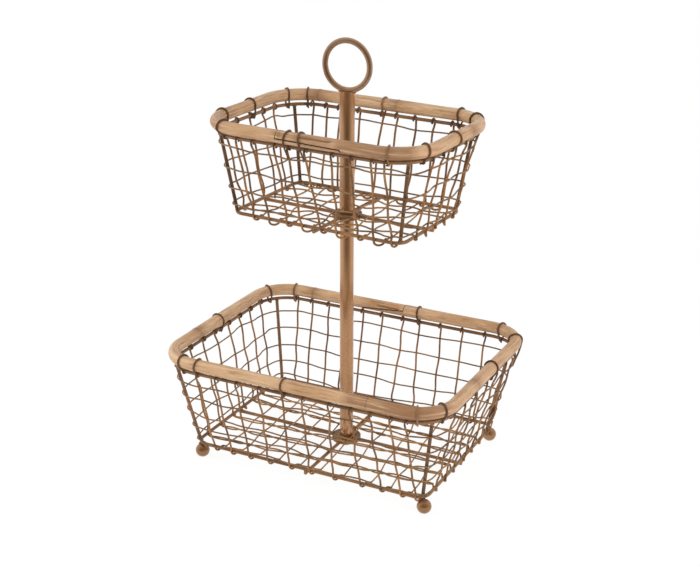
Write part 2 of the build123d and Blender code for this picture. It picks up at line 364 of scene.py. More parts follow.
@dataclass(frozen=True)
class WirePaint:
    """Brown paint on bent wire: uneven coat, bare warm spots, a fine grain, and painted shade under the cane
    near any given top-ring heights.
    """

    name: str
    colour: Colour
    dark: Colour
    worn: Colour
    roughness: float = 0.46
    metallic: float = 0.35
    patch_scale: float = 38.0
    patch_span: Span = (0.36, 0.64)
    rub_fineness: float = 9.0
    lump_fineness: float = 14.0
    lump_depth_ratio: float = 5.0
    grain_scale: float = 2600.0
    grain_depth: float = 0.06 * MM
    worn_share: float = 0.36
    worn_spread: Span = (0.05, 0.12)
    worn_most: float = 0.8
    roughness_spread: Span = (0.08, 0.12)
    coat: float = 0.06
    coat_roughness: float = 0.25
    # Painted shade under the cane: the colour the wires darken to near the given top-ring heights, within
    # the reach.
    painted_shade: Colour = (0.075, 0.043, 0.024)
    painted_shade_heights: tuple[float, ...] = ()
    painted_shade_reach: float = 6.2 * MM
    painted_shade_most: float = 0.6

    def material(self) -> bpy.types.Material:
        """Makes the material.

        Returns:
            The new material.
        """
        made = bpy.data.materials.new(self.name)
        graph = Graph(made)
        place = graph.add("TexCoord").outputs["Object"]
        patches = graph.noise(place, self.patch_scale, Texture.PATCHY)
        coat = graph.blend(graph.ramp(patches, *self.patch_span), self.dark, self.colour)
        rubbed = graph.noise(place, self.patch_scale * self.rub_fineness, Texture.RUBBED)
        worn = graph.ramp(rubbed, *around(1 - self.worn_share, self.worn_spread), 0.0, self.worn_most)
        colour = graph.blend(worn, coat, self.worn)
        # Painted shade: darkens the wires near each top ring, where the cane above shades them.
        for height in self.painted_shade_heights:
            near = graph.near_height(place, height, self.painted_shade_reach)
            colour = graph.blend(graph.math("MULTIPLY", near, self.painted_shade_most), colour, self.painted_shade)
        grain = graph.noise(place, self.grain_scale, Texture.SMOOTH)
        lumps = graph.noise(place, self.patch_scale * self.lump_fineness, Texture.SMOOTH)
        lumpy = graph.bump(lumps, self.grain_depth * self.lump_depth_ratio)
        relief = graph.bump(grain, self.grain_depth, lumpy)
        rough = graph.ramp(rubbed, *MIDDLE_SPAN, *around(self.roughness, self.roughness_spread))
        graph.surface(rough, colour, relief, Metallic=self.metallic, Coat_Weight=self.coat,
                      Coat_Roughness=self.coat_roughness)
        return made


@dataclass(frozen=True)
class TubePaint:
    """Smooth bronze-brown paint of the post, handle and feet."""

    name: str
    colour: Colour
    dark: Colour
    roughness: float
    metallic: float
    coat: float
    cloud_scale: float = 16.0
    cloud_lengthwise: float = 0.35
    cloud_span: Span = (0.32, 0.68)
    speck_scale: float = 1900.0
    speck_span: Span = (0.60, 0.74)
    speck_most: float = 0.1
    peel_scale: float = 500.0
    peel_depth: float = 0.005 * MM
    roughness_spread: Span = (0.04, 0.07)
    coat_roughness: float = 0.14

    def material(self) -> bpy.types.Material:
        """Makes the material.

        Returns:
            The new material.
        """
        made = bpy.data.materials.new(self.name)
        graph = Graph(made)
        place = graph.add("TexCoord").outputs["Object"]
        clouds = graph.noise(place, self.cloud_scale, Texture.CLOUDY, self.cloud_lengthwise)
        specks = graph.noise(place, self.speck_scale, Texture.SPECKLED)
        coat = graph.blend(graph.ramp(clouds, *self.cloud_span), self.dark, self.colour)
        speckled = graph.ramp(specks, *self.speck_span, 0.0, self.speck_most)
        colour = graph.blend(speckled, coat, self.dark)
        peel = graph.noise(place, self.peel_scale, Texture.SMOOTH)
        relief = graph.bump(peel, self.peel_depth)
        rough = graph.ramp(clouds, *MIDDLE_SPAN, *around(self.roughness, self.roughness_spread))
        graph.surface(rough, colour, relief, Metallic=self.metallic, Coat_Weight=self.coat,
                      Coat_Roughness=self.coat_roughness)
        return made


@dataclass(frozen=True)
class Stripes:
    """Stripes along a cane: how fine and how drawn out they are, and from where they show how much."""

    scale: float
    lengthwise: float
    span: Span
    most: float

    def pattern(self, graph: Graph, place: Socket) -> Socket:
        """The stripes' noise."""
        return graph.noise(place, self.scale, Texture.FIBROUS, self.lengthwise)

    def strength(self, graph: Graph, pattern: Socket) -> Socket:
        """How much the stripes show, from their noise."""
        return graph.ramp(pattern, *self.span, 0.0, self.most)


@dataclass(frozen=True)
class CaneSkin:
    """Skin of a peeled cane: fibres along it, blotches, growth rings and dark cut ends."""

    name: str
    light: Colour
    tan: Colour
    deep: Colour
    ring: Colour
    pale: Colour
    bare: Colour
    roughness: float
    fibres: Stripes = Stripes(1500.0, 0.035, (0.55, 0.72), 0.45)
    streaks: Stripes = Stripes(450.0, 0.08, (0.52, 0.68), 0.6)
    bands: Stripes = Stripes(255.0, 0.05, (0.52, 0.66), 0.7)
    fibre_depth: float = 0.12 * MM
    streak_depth: float = 0.24 * MM
    blotch_scale: float = 26.0
    blotch_lengthwise: float = 0.45
    blotch_span: Span = (0.36, 0.64)
    shade_span: Span = (0.3, 0.6)
    shade_shares: Span = (0.45, 0.9)
    chip_span: Span = (0.38, 0.58)
    chip_shares: Span = (0.35, 1.0)
    roughness_spread: Span = (0.06, 0.08)
    coat: float = 0.12
    coat_roughness: float = 0.3

    def material(self) -> bpy.types.Material:
        """Makes the material, which reads the cane's straightened coordinates.

        Returns:
            The new material.
        """
        made = bpy.data.materials.new(self.name)
        graph = Graph(made)
        place = graph.add("Attribute", attribute_name=Cane.GRAIN).outputs["Vector"]
        ring = graph.add("Attribute", attribute_name=Cane.RING).outputs["Fac"]
        cut = graph.add("Attribute", attribute_name=Cane.CUT).outputs["Fac"]
        shade = graph.add("Attribute", attribute_name=Cane.SHADE).outputs["Fac"]
        chip = graph.add("Attribute", attribute_name=Cane.CHIP).outputs["Fac"]
        blotches = graph.noise(place, self.blotch_scale, Texture.BLOTCHY, self.blotch_lengthwise)
        fibres = self.fibres.pattern(graph, place)
        streaks = self.streaks.pattern(graph, place)
        base = graph.blend(graph.ramp(blotches, *self.blotch_span), self.light, self.tan)
        uneven = graph.ramp(blotches, *self.shade_span, *self.shade_shares)
        shaded = graph.blend(graph.math("MULTIPLY", shade, uneven), base, self.deep)
        bands = self.bands.pattern(graph, place)
        striped = graph.blend(self.bands.strength(graph, bands), shaded, self.pale)
        streaked = graph.blend(self.streaks.strength(graph, streaks), striped, self.deep)
        lined = graph.blend(self.fibres.strength(graph, fibres), streaked, self.deep)
        frayed = graph.ramp(fibres, *self.chip_span, *self.chip_shares)
        chipped = graph.blend(graph.math("MULTIPLY", chip, frayed), lined, self.bare)
        ringed = graph.blend(ring, chipped, self.ring)
        colour = graph.blend(cut, ringed, self.ring)
        relief = graph.bump(fibres, self.fibre_depth, graph.bump(streaks, self.streak_depth))
        rough = graph.ramp(blotches, *MIDDLE_SPAN, *around(self.roughness, self.roughness_spread))
        graph.surface(rough, colour, relief, Coat_Weight=self.coat, Coat_Roughness=self.coat_roughness)
        return made


@dataclass(frozen=True)
class Zinc:
    """Plated steel of the fastening under the post."""

    name: str
    colour: Colour
    dull: Colour
    spangle_scale: float = 420.0
    spangle_span: Span = (0.4, 0.6)
    scratch_scale: float = 3000.0
    scratch_lengthwise: float = 0.05
    scratch_depth: float = 0.02 * MM
    roughness: Span = (0.28, 0.5)

    def material(self) -> bpy.types.Material:
        """Makes the material.

        Returns:
            The new material.
        """
        made = bpy.data.materials.new(self.name)
        graph = Graph(made)
        place = graph.add("TexCoord").outputs["Object"]
        spangle = graph.noise(place, self.spangle_scale, Texture.SPANGLED)
        scratches = graph.noise(place, self.scratch_scale, Texture.SCRATCHED, self.scratch_lengthwise)
        colour = graph.blend(graph.ramp(spangle, *self.spangle_span), self.dull, self.colour)
        rough = graph.ramp(spangle, *MIDDLE_SPAN, *self.roughness)
        graph.surface(rough, colour, graph.bump(scratches, self.scratch_depth), Metallic=1.0)
        return made


@dataclass(frozen=True)
class Palette:
    """The finishes of the whole object, made once."""

    wire: bpy.types.Material
    level: bpy.types.Material
    floor: bpy.types.Material
    rod: bpy.types.Material
    rim: bpy.types.Material
    tie: bpy.types.Material
    post: bpy.types.Material
    foot: bpy.types.Material
    handle: bpy.types.Material
    cane: bpy.types.Material
    zinc: bpy.types.Material

    @classmethod
    def mixed(cls) -> "Palette":
        """Mixes every finish.

        Returns:
            The palette.
        """
        # Top-ring heights, near which the wall wires get painted shade from the cane.
        rims = (LOWER.top_height, UPPER.top_height)
        return cls(
            wire=WirePaint("wire_brown", seen(174, 123, 70), dark=seen(117, 82, 50),
                           worn=seen(206, 149, 86), painted_shade_heights=rims).material(),
            level=WirePaint("level_brown", seen(162, 122, 80), dark=seen(112, 85, 58),
                            worn=seen(198, 146, 94), metallic=0.3).material(),
            floor=WirePaint("floor_brown", seen(190, 140, 82), dark=seen(134, 95, 56),
                            worn=seen(212, 156, 96), roughness=0.44).material(),
            rod=WirePaint("rod_brown", seen(166, 120, 77), dark=seen(122, 87, 56), worn=seen(194, 141, 90),
                          roughness=0.42, patch_scale=22.0, worn_share=0.32).material(),
            rim=WirePaint("rim_brown", seen(158, 115, 76), dark=seen(118, 84, 56), worn=seen(186, 136, 90),
                          roughness=0.42, patch_scale=22.0).material(),
            tie=WirePaint("tie_brown", seen(124, 87, 55), dark=seen(90, 62, 40),
                          worn=seen(154, 108, 68)).material(),
            post=TubePaint("post_bronze", seen(200, 151, 106), dark=seen(178, 129, 84),
                           roughness=0.22, metallic=0.82, coat=0.75).material(),
            foot=TubePaint("foot_bronze", seen(172, 127, 83), dark=seen(132, 93, 60),
                           roughness=0.30, metallic=0.65, coat=0.2).material(),
            handle=TubePaint("handle_bronze", seen(178, 140, 106), dark=seen(150, 113, 82),
                             roughness=0.26, metallic=0.74, coat=0.5).material(),
            cane=CaneSkin("cane_skin", light=seen(216, 176, 134), tan=seen(194, 150, 108),
                          deep=seen(140, 96, 60), ring=seen(112, 73, 43), pale=seen(232, 197, 158),
                          bare=seen(190, 124, 72), roughness=0.48).material(),
            zinc=Zinc("zinc_plate", seen(196, 196, 192), dull=seen(150, 152, 154)).material(),
        )


# Shared ways of making a piece


def finish_piece(piece: bpy.types.Object, material: bpy.types.Material,
                 replaced: Iterable[str] = ()) -> bpy.types.Object:
    """Gives a new piece its finish and ties it to the frame.

    Args:
        piece: The piece, at the origin.
        material: Its finish.
        replaced: CAD nodes that it stands for.

    Returns:
        The piece.
    """
    piece.data.materials.clear()
    piece.data.materials.append(material)
    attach(piece, BODY)
    names = tuple(replaced)
    if names:
        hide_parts(*names)
    log.info("%s: %d faces", piece.name, len(piece.data.polygons))
    return piece


def link_mesh(name: str, mesh: bpy.types.Mesh) -> bpy.types.Object:
    """Puts a mesh in the scene.

    Args:
        name: The object's name.
        mesh: Its mesh.

    Returns:
        The object.
    """
    piece = bpy.data.objects.new(name, mesh)
    bpy.context.scene.collection.objects.link(piece)
    return piece


def mesh_from(shape: bmesh.types.BMesh, name: str, sharp: float = SHARP_EDGE) -> bpy.types.Object:
    """Turns a finished bmesh into an object with smooth faces and sharp edges.

    Args:
        shape: The bmesh, which is freed.
        name: The object's name.
        sharp: Angle from which an edge is sharp.

    Returns:
        The object.
    """
    mesh = bpy.data.meshes.new(name)
    shape.to_mesh(mesh)
    shape.free()
    mesh.shade_smooth()
    mesh.set_sharp_from_angle(angle=sharp)
    return link_mesh(name, mesh)


@dataclass
class WireRun:
    """The centreline of one bent wire, as the points that it passes through.

    Its thicknesses are shares of the wire's diameter at the points; none means 1 at each.
    """

    points: list[Vector]
    closed: bool = False
    thicknesses: list[float] = field(default_factory=list)


def bend_wires(name: str, runs: Sequence[WireRun], diameter: float) -> bpy.types.Object:
    """Bends round wires smoothly through their points.

    Args:
        name: The object's name.
        runs: The wires' centrelines.
        diameter: The wires' diameter.

    Returns:
        One mesh object that holds all the wires.
    """
    curve = bpy.data.curves.new(name, "CURVE")
    curve.dimensions = "3D"
    curve.bevel_depth = diameter / 2
    curve.bevel_resolution = WIRE_ROUNDNESS
    curve.resolution_u = WIRE_STEPS
    curve.use_fill_caps = True
    for run in runs:
        spline = curve.splines.new("BEZIER")
        spline.bezier_points.add(len(run.points) - 1)
        spline.use_cyclic_u = run.closed
        thicknesses = run.thicknesses or [1.0] * len(run.points)
        for knot, place, thickness in zip(spline.bezier_points, run.points, thicknesses, strict=True):
            knot.co = place
            knot.radius = thickness
            knot.handle_left_type = "AUTO"
            knot.handle_right_type = "AUTO"
    holder = bpy.data.objects.new(name + "_line", curve)
    mesh = bpy.data.meshes.new_from_object(holder)
    mesh.name = name
    bpy.data.objects.remove(holder)
    bpy.data.curves.remove(curve)
    mesh.shade_smooth()
    return link_mesh(name, mesh)


# The baskets


@dataclass(frozen=True)
class BasketForm:
    """Sizes of one basket over the centrelines of its rods, as in the CAD."""

    name: str
    base_length: float
    base_width: float
    base_corner: float
    top_length: float
    top_width: float
    top_corner: float
    cane_outset: float
    turn: float
    post: float
    rod: float = 4 * MM
    cane: float = 14 * MM
    hub: float = 34 * MM

    def middle(self, part: str) -> float:
        """Height of the middle of one of the basket's CAD nodes."""
        low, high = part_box(f"{self.name}_{part}")
        return (low.z + high.z) / 2

    def upper_side(self, part: str) -> float:
        """Height of the upper side of one of the basket's CAD nodes."""
        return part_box(f"{self.name}_{part}")[1].z

    @cached_property
    def base_height(self) -> float:
        """Height of the base ring's centre."""
        return self.middle("base_ring")

    @cached_property
    def top_height(self) -> float:
        """Height of the top ring's centre."""
        return self.middle("top_ring")

    @cached_property
    def cane_height(self) -> float:
        """Height of the cane's centre."""
        return self.middle("rim_cane")

    @cached_property
    def hub_top(self) -> float:
        """Height of the hub's upper face."""
        return self.upper_side("hub")

    @cached_property
    def bar_top(self) -> float:
        """Height of the upper side of the floor bars."""
        return self.upper_side("long_floor_bars")

    @property
    def depth(self) -> float:
        """Height of the walls."""
        return self.top_height - self.base_height

    def turned(self, place: Vector) -> Vector:
        """Turns a place or direction with the basket about the post."""
        return Matrix.Rotation(self.turn, 3, "Z") @ place

    def halves(self, share: float, side: Side) -> tuple[float, float]:
        """Half sizes along and across a wall.

        Args:
            share: Share of the wall's height.
            side: The wall.

        Returns:
            Half the wall's length, and its distance from the middle.
        """
        half_length = (self.base_length + (self.top_length - self.base_length) * share) / 2
        half_width = (self.base_width + (self.top_width - self.base_width) * share) / 2
        return (half_length, half_width) if side.long else (half_width, half_length)

    def bend(self, share: float) -> float:
        """Radius of the basket's corners at a share of its height."""
        return self.base_corner + (self.top_corner - self.base_corner) * share

    def leaning(self, out: Vector, flare: float) -> Vector:
        """Outward normal of a wall that leans outwards by flare over its height."""
        return (out * self.depth - UP * flare).normalized()

    def on_wall(self, side: Side, along: float, share: float, outward: float = 0.0,
                lift: float = 0.0) -> Vector:
        """A place on a wall.

        Args:
            side: The wall.
            along: Distance from the wall's middle.
            share: Share of the wall's height.
            outward: Distance out of the rings' middle surface.
            lift: Distance above the share's height.

        Returns:
            The place.
        """
        base_out, top_out = self.halves(0, side)[1], self.halves(1, side)[1]
        place = side.along * along + side.out * self.halves(share, side)[1]
        place += UP * (self.base_height + self.depth * share)
        normal = self.leaning(side.out, top_out - base_out)
        rise = (side.out * (top_out - base_out) + UP * self.depth).normalized()
        return self.turned(place + normal * outward + rise * lift)

    def on_bend(self, side: Side, angle: float, share: float, outward: float = 0.0) -> Vector:
        """A place on the bend that follows a wall.

        Args:
            side: The wall before the bend.
            angle: Angle round the bend, from 0 at this wall to a quarter turn at the next.
            share: Share of the wall's height.
            outward: Distance out of the rings' middle surface.

        Returns:
            The place.
        """
        half_along, half_out = self.halves(share, side)
        radius = self.bend(share)
        way = side.round_bend(angle)
        centre = side.along * (half_along - radius) + side.out * (half_out - radius)
        flare = self.halves(1, side)[1] - self.halves(0, side)[1]
        place = centre + way * radius + UP * (self.base_height + self.depth * share)
        return self.turned(place + self.leaning(way, flare) * outward)


LOWER = BasketForm(
    name="lower",
    base_length=296 * MM,
    base_width=202 * MM,
    base_corner=14 * MM,
    top_length=347 * MM,
    top_width=257 * MM,
    top_corner=42 * MM,
    cane_outset=1 * MM,
    turn=0.0,
    post=16 * MM,
)
UPPER = BasketForm(
    name="upper",
    base_length=216 * MM,
    base_width=139 * MM,
    base_corner=13 * MM,
    top_length=261.5 * MM,
    top_width=177 * MM,
    top_corner=44 * MM,
    cane_outset=3.5 * MM,
    turn=math.radians(-3.5),
    post=17 * MM,
)


@dataclass(frozen=True)
class Stem:
    """One wall wire: where it leaves the base ring and where it hooks over the top ring, in
    millimetres from the wall's middle, and how its lower end holds the base ring.
    """

    base: float
    top: float
    end: FootEnd = FootEnd.KNOB


def stems(bases: Sequence[float], tops: Sequence[float], loops: Sequence[int] = ()) -> tuple[Stem, ...]:
    """The wires of one wall.

    Args:
        bases: Places at the base ring.
        tops: Places at the top ring.
        loops: Which of them end in an open loop.

    Returns:
        The wires in order.
    """
    ends = [FootEnd.OPEN_LOOP if index in loops else FootEnd.KNOB for index in range(len(tops))]
    return tuple(Stem(base, top, end) for base, top, end in zip(bases, tops, ends, strict=True))


@dataclass(frozen=True)
class FloorWire:
    """One floor wire: it goes on from a wall wire of its near wall to one of the opposite wall.

    The wall wires are given by their numbers, and a doubled wire is two strands side by side.
    """

    near: int
    far: int
    doubled: bool = False


@dataclass(frozen=True)
class Wave:
    """A wander of the level wires up and down: its length and height, and its lanes in the noise.

    Each wall and each level has a lane of its own, some steps from the one before.
    """

    length: float
    height: float
    wall_step: float
    level_step: float
    start: float = 0.0

    def rise(self, along: float, side: Side, level: int, seed: int) -> float:
        """Rise of a level wire at a distance along its wall."""
        lanes = (side.value * self.wall_step + self.start, level * self.level_step + seed)
        return noise.noise(Vector((along / self.length, *lanes))) * self.height


@dataclass
class Weave:
    """The woven wires of one basket: wall wires, level wires and floor wires.

    A wall wire is wound round the top ring up to an angle in degrees, hooked or wound right round.
    Its lower end holds the base ring in an open loop or a knob, whose points are shares of their
    sizes: out of the ring, up, and for the loop along the wall. A level wire passes a corner post at
    angles round the bend, each with a share of the way out past the post.
    """

    SLOW_WAVE = Wave(90 * MM, 5.2 * MM, 7.3, 3.1)
    QUICK_WAVE = Wave(21 * MM, 1.76 * MM, 5.9, 4.7, start=40)
    ROUND_POST_SHARES = ((22, 0.55), (39, 1.0), (51, 1.0), (68, 0.55))
    LOOP_SHARES = ((0.85, -0.76, 0.14), (0.35, -1.0, 0.42), (-0.25, -0.97, 0.66),
                   (-0.85, -0.68, 0.88), (-1.15, -0.1, 0.99))
    KNOB_SHARES = ((0.96, -0.30), (0.62, -0.80), (-0.10, -1.0), (-0.74, -0.70))

    form: BasketForm
    walls: dict[Side, tuple[Stem, ...]]
    level_shares: tuple[float, ...]
    long_floor: tuple[FloorWire, ...]
    cross_floor: tuple[FloorWire, ...]
    floor_zigzag: float
    knob_drift: float
    loop_drift: float
    seed: int
    stem_wire: float = 2.3 * MM
    level_wire: float = 1.8 * MM
    floor_wire: float = 1.9 * MM
    hook_angle: int = 280
    wound_angle: int = 530
    angle_step: int = 45
    angle_play: int = 15
    angle_choices: int = 4
    hammered: float = 0.78
    pitch_share: float = 0.85
    pitch_play: float = 0.3 * MM
    slack_play: float = 0.2 * MM
    below_ring: float = 3.5 * MM
    wound_walls: tuple[Side, ...] = ()
    middle_outward: float = 2.1 * MM
    stem_bow_share: float = 0.4
    level_bow_share: float = 0.6
    stem_wander: float = 1.1 * MM
    round_post_gap: float = 0.1 * MM
    loop_width_shares: Span = (0.92, 1.04)
    loop_drop: float = 3.7 * MM
    loop_drop_shares: Span = (0.85, 1.15)
    loop_above: float = 1.2 * MM
    loop_below: float = 1.4 * MM
    loop_step: float = 0.1 * MM
    knob_above: float = 1.0 * MM
    knob_bulge: Span = (0.1 * MM, 0.4 * MM)
    knob_steps: tuple[float, ...] = (0.5 * MM, 1.6 * MM, 2.9 * MM, 3.9 * MM, 4.7 * MM)
    knob_end_share: float = 1.05
    knob_end_rise: float = 0.1 * MM
    floor_start: float = 6.0 * MM
    floor_arch: float = 0.9 * MM
    floor_landing: float = 0.2 * MM
    floor_overlap: float = 1.5 * MM
    floor_sink: float = 0.1 * MM
    floor_end_share: float = 0.02
    floor_step_share: float = 0.03
    post_gap: float = 0.4 * MM
    pair_gap: float = 4.4 * MM
    pair_gap_shares: Span = (0.6, 1.15)
    pair_end_share: float = 0.3
    pair_crossing_share: float = 0.25
    chance: random.Random = field(init=False)

    def __post_init__(self) -> None:
        """Seeds the handwork's small errors."""
        self.chance = random.Random(self.seed)

    @property
    def hold(self) -> float:
        """Distance from a rod's centre to that of a wall wire laid round it."""
        return (self.form.rod + self.stem_wire) / 2 + CLEARANCE

    @property
    def crossing(self) -> float:
        """Distance between the centres of a wall wire and a level wire that cross."""
        return (self.stem_wire + self.level_wire) / 2 + CLEARANCE

    def place(self, stem: Stem, share: float) -> float:
        """Where a wall wire is along its wall at a share of the height."""
        return (stem.base + (stem.top - stem.base) * share) * MM

    def level_share(self, level: int, side: Side, along: float) -> float:
        """Height share of a level wire at a place, with its slow wander and its quick kinks."""
        rise = sum(wave.rise(along, side, level, self.seed) for wave in (self.SLOW_WAVE, self.QUICK_WAVE))
        return self.level_shares[level] + rise / self.form.depth

    def stem_run(self, side: Side, index: int) -> WireRun:
        """Centreline of one wall wire, from the winding round the top ring down to its lower end.

        Args:
            side: The wall.
            index: Which wire of the wall.

        Returns:
            The wire's centreline.
        """
        stem = self.walls[side][index]
        top = self.place(stem, 1)
        tight = (self.form.rod + self.stem_wire * self.hammered) / 2 + CLEARANCE
        pitch = self.stem_wire * self.pitch_share + self.chance.uniform(0.0, self.pitch_play)
        slack = self.chance.uniform(0.0, self.slack_play)

        def at_top(outward: float, lift: float, shift: float = 0.0) -> Vector:
            """Place by the top ring."""
            return self.form.on_wall(side, top + shift, 1, outward, lift)

        points = []
        first = self.wound_angle if side in self.wound_walls else self.hook_angle
        first += self.angle_play * self.chance.randrange(self.angle_choices)
        for angle in range(first, -1, -self.angle_step):
            turn = math.radians(angle)
            reach = tight + slack * math.sin(turn)
            points.append(at_top(reach * math.cos(turn), reach * math.sin(turn), pitch * angle / 360))
        thicknesses = [self.hammered] * len(points)
        points.append(at_top(self.hold, -self.below_ring))
        for level in reversed(range(len(self.level_shares))):
            share = self.level_share(level, side, self.place(stem, self.level_shares[level]))
            outward = self.middle_outward + self.over(index, level) * self.crossing * self.stem_bow_share
            wander = self.chance.uniform(-1, 1) * self.stem_wander
            points.append(self.form.on_wall(side, self.place(stem, share) + wander, share, outward))
        points.extend(self.lower_end(side, stem))
        thicknesses += [1.0] * (len(points) - len(thicknesses))
        return WireRun(points, thicknesses=thicknesses)

    def over(self, index: int, level: int) -> int:
        """Whether a wall wire passes outside a level wire, as 1, or inside it, as -1."""
        return 1 if (index + level) % 2 else -1

    def drift(self, stem: Stem) -> float:
        """How far along its wall a wall wire has moved where it becomes a floor wire."""
        return self.loop_drift if stem.end is FootEnd.OPEN_LOOP else self.knob_drift

    def lower_end(self, side: Side, stem: Stem) -> list[Vector]:
        """Points of a wall wire's lower end, slantwise under the base ring and on to the floor.

        Args:
            side: The wall.
            stem: The wall wire.

        Returns:
            The points.
        """
        base = stem.base * MM
        hold = self.hold
        drift = self.drift(stem)
        base_out = self.form.halves(0, side)[1]

        def at_base(reach: float, rise: float, shift: float) -> Vector:
            """Place by the base ring, by distances from its centre and along it."""
            place = side.along * (base + shift) + side.out * (base_out + reach)
            return self.form.turned(place + UP * (self.form.base_height + rise))

        if stem.end is FootEnd.OPEN_LOOP:
            risen = drift * self.chance.uniform(*self.loop_width_shares)
            drop = self.form.rod / 2 + self.loop_drop * self.chance.uniform(*self.loop_drop_shares)
            points = [at_base(hold, self.loop_above, 0.0), at_base(hold, -self.loop_below, self.loop_step)]
            points += [at_base(hold * out, drop * rise, risen * along)
                       for out, rise, along in self.LOOP_SHARES]
        else:
            risen = self.knob_steps[-1]
            bulge = hold + self.chance.uniform(*self.knob_bulge)
            radii = (hold, bulge, bulge, bulge)
            points = [at_base(hold, self.knob_above, 0.0)]
            points += [at_base(radius * out, radius * rise, step)
                       for radius, (out, rise), step in zip(radii, self.KNOB_SHARES, self.knob_steps)]
            points.append(at_base(-hold * self.knob_end_share, self.knob_end_rise, risen))
        points += [
            at_base(-(self.floor_start + hold) / 2, self.floor_arch, (risen + drift) / 2),
            at_base(-self.floor_start, self.floor_landing, drift),
            at_base(-self.floor_start - self.floor_overlap, 0.0, drift),
        ]
        return points

    def level_run(self, level: int) -> WireRun:
        """Centreline of one level wire, round the whole basket.

        Args:
            level: Which wire, from the bottom.

        Returns:
            The wire's closed centreline.
        """
        points: list[Vector] = []
        for side in Side:
            wall = self.walls[side]
            for index, stem in enumerate(wall):
                along = self.place(stem, self.level_shares[level])
                share = self.level_share(level, side, along)
                bow = self.over(index, level) * self.crossing * self.level_bow_share
                outward = self.middle_outward - bow
                points.append(self.form.on_wall(side, along, share, outward))
            past_post = (self.form.rod + self.level_wire) / 2 + self.round_post_gap
            share = self.level_share(level, side, self.form.halves(0.5, side)[0])
            for angle, outward in self.ROUND_POST_SHARES:
                points.append(self.form.on_bend(side, math.radians(angle), share, past_post * outward))
        return WireRun(points, closed=True)

    def floor_ends(self, near: Side, wire: FloorWire) -> tuple[Vector, Vector]:
        """Where a floor wire goes on from its wall wires, flat and before the basket's turn.

        Args:
            near: The wall that the wire comes from.
            wire: The floor wire.

        Returns:
            Its place at the near wall and at the opposite one.
        """
        ends = []
        for side, number in ((near, wire.near), (near.opposite, wire.far)):
            stem = self.walls[side][number]
            along = stem.base * MM + self.drift(stem)
            ends.append(side.along * along + side.out * (self.form.halves(0, side)[1] - self.floor_start))
        return ends[0], ends[1]

    def crossings(self, near: Side, wire: FloorWire) -> list[tuple[float, int]]:
        """Where a floor wire crosses those of the other direction.

        Args:
            near: The wall that the wire comes from.
            wire: The floor wire.

        Returns:
            For each crossing the share of the wire's length and the other wire's number, in order.
        """
        start, end = self.floor_ends(near, wire)
        others = self.cross_floor if near is Side.LEFT else self.long_floor
        other_side = Side.FRONT if near is Side.LEFT else Side.LEFT
        found = []
        for number, other in enumerate(others):
            first, last = self.floor_ends(other_side, other)
            run, cut, gap = end - start, last - first, first - start
            share = (gap.x * cut.y - gap.y * cut.x) / (run.x * cut.y - run.y * cut.x)
            if self.floor_end_share < share < 1 - self.floor_end_share:
                found.append((share, number))
        return sorted(found)

    def settled(self, place: Vector) -> Vector:
        """Moves a floor wire's place round the post and up onto the hub and the floor bars.

        Args:
            place: The place, before the basket's turn.

        Returns:
            The place moved clear of them.
        """
        form = self.form
        radius = self.floor_wire / 2
        clear = form.post / 2 + radius + self.post_gap
        flat = Vector((place.x, place.y, 0.0))
        if flat.length < clear:
            flat = flat.normalized() * clear
        least = 0.0
        if flat.length < form.hub / 2 + radius:
            least = form.hub_top + radius + CLEARANCE
        elif min(abs(flat.x), abs(flat.y)) < form.rod / 2 + 2 * radius:
            least = form.bar_top + radius + CLEARANCE
        return Vector((flat.x, flat.y, max(place.z, least)))

    def floor_run(self, near: Side, order: int, wire: FloorWire) -> list[WireRun]:
        """Centrelines of one floor wire's strands.

        Args:
            near: The wall that the wire comes from.
            order: Which wire of its direction, for the weave.
            wire: The floor wire.

        Returns:
            One run for each strand.
        """
        start, end = self.floor_ends(near, wire)
        across = UP.cross(end - start).normalized()
        level = self.form.base_height - self.floor_sink
        lift = self.floor_wire / 2 + CLEARANCE
        nearest = -start.dot(end - start) / (end - start).length_squared
        runs = []
        for strand in range(2 if wire.doubled else 1):
            hand = (2 * strand - 1) if wire.doubled else 0
            beside = hand * self.pair_end_share * self.floor_wire
            laid = [(0.0, beside, 0.0), (1.0, beside, 0.0)]
            crossed = self.crossings(near, wire)
            for share, other in crossed:
                over = 1 if (order + other + strand + (near is Side.LEFT)) % 2 else -1
                zigzag = self.chance.uniform(-1, 1) * self.floor_zigzag
                beside = hand * self.pair_crossing_share * self.floor_wire
                laid.append((share, zigzag + beside, over * lift))
            if wire.doubled:
                stops = [0.0, *(share for share, _ in crossed), 1.0]
                for first, last in zip(stops, stops[1:]):
                    gap = self.pair_gap * self.chance.uniform(*self.pair_gap_shares)
                    laid.append(((first + last) / 2, hand * gap / 2, 0.0))
            if all(abs(share - nearest) > self.floor_step_share for share, _, _ in laid):
                laid.append((nearest, 0.0, 0.0))
            places = [start.lerp(end, share) + across * aside + UP * (level + height)
                      for share, aside, height in sorted(laid)]
            runs.append(WireRun([self.form.turned(self.settled(place)) for place in places]))
        return runs

    def build(self, palette: Palette) -> None:
        """Bends every wire of the weave.

        Args:
            palette: The finishes.
        """
        name = self.form.name
        for side in Side:
            label = side.name.lower()
            runs = [self.stem_run(side, index) for index in range(len(self.walls[side]))]
            piece = bend_wires(f"{name}_{label}_wall_wires", runs, self.stem_wire)
            finish_piece(piece, palette.wire, [f"{name}_{label}_uprights"])
        levels = [self.level_run(level) for level in range(len(self.level_shares))]
        piece = bend_wires(f"{name}_level_wires", levels, self.level_wire)
        finish_piece(piece, palette.level,
                     [f"{name}_{side.name.lower()}_wefts" for side in Side])
        floors = (("long", Side.LEFT, self.long_floor), ("cross", Side.FRONT, self.cross_floor))
        for label, near, wires in floors:
            runs = []
            for order, wire in enumerate(wires):
                runs.extend(self.floor_run(near, order, wire))
            piece = bend_wires(f"{name}_{label}_floor_weave", runs, self.floor_wire)
            finish_piece(piece, palette.floor, [f"{name}_{label}_floor_wires"])


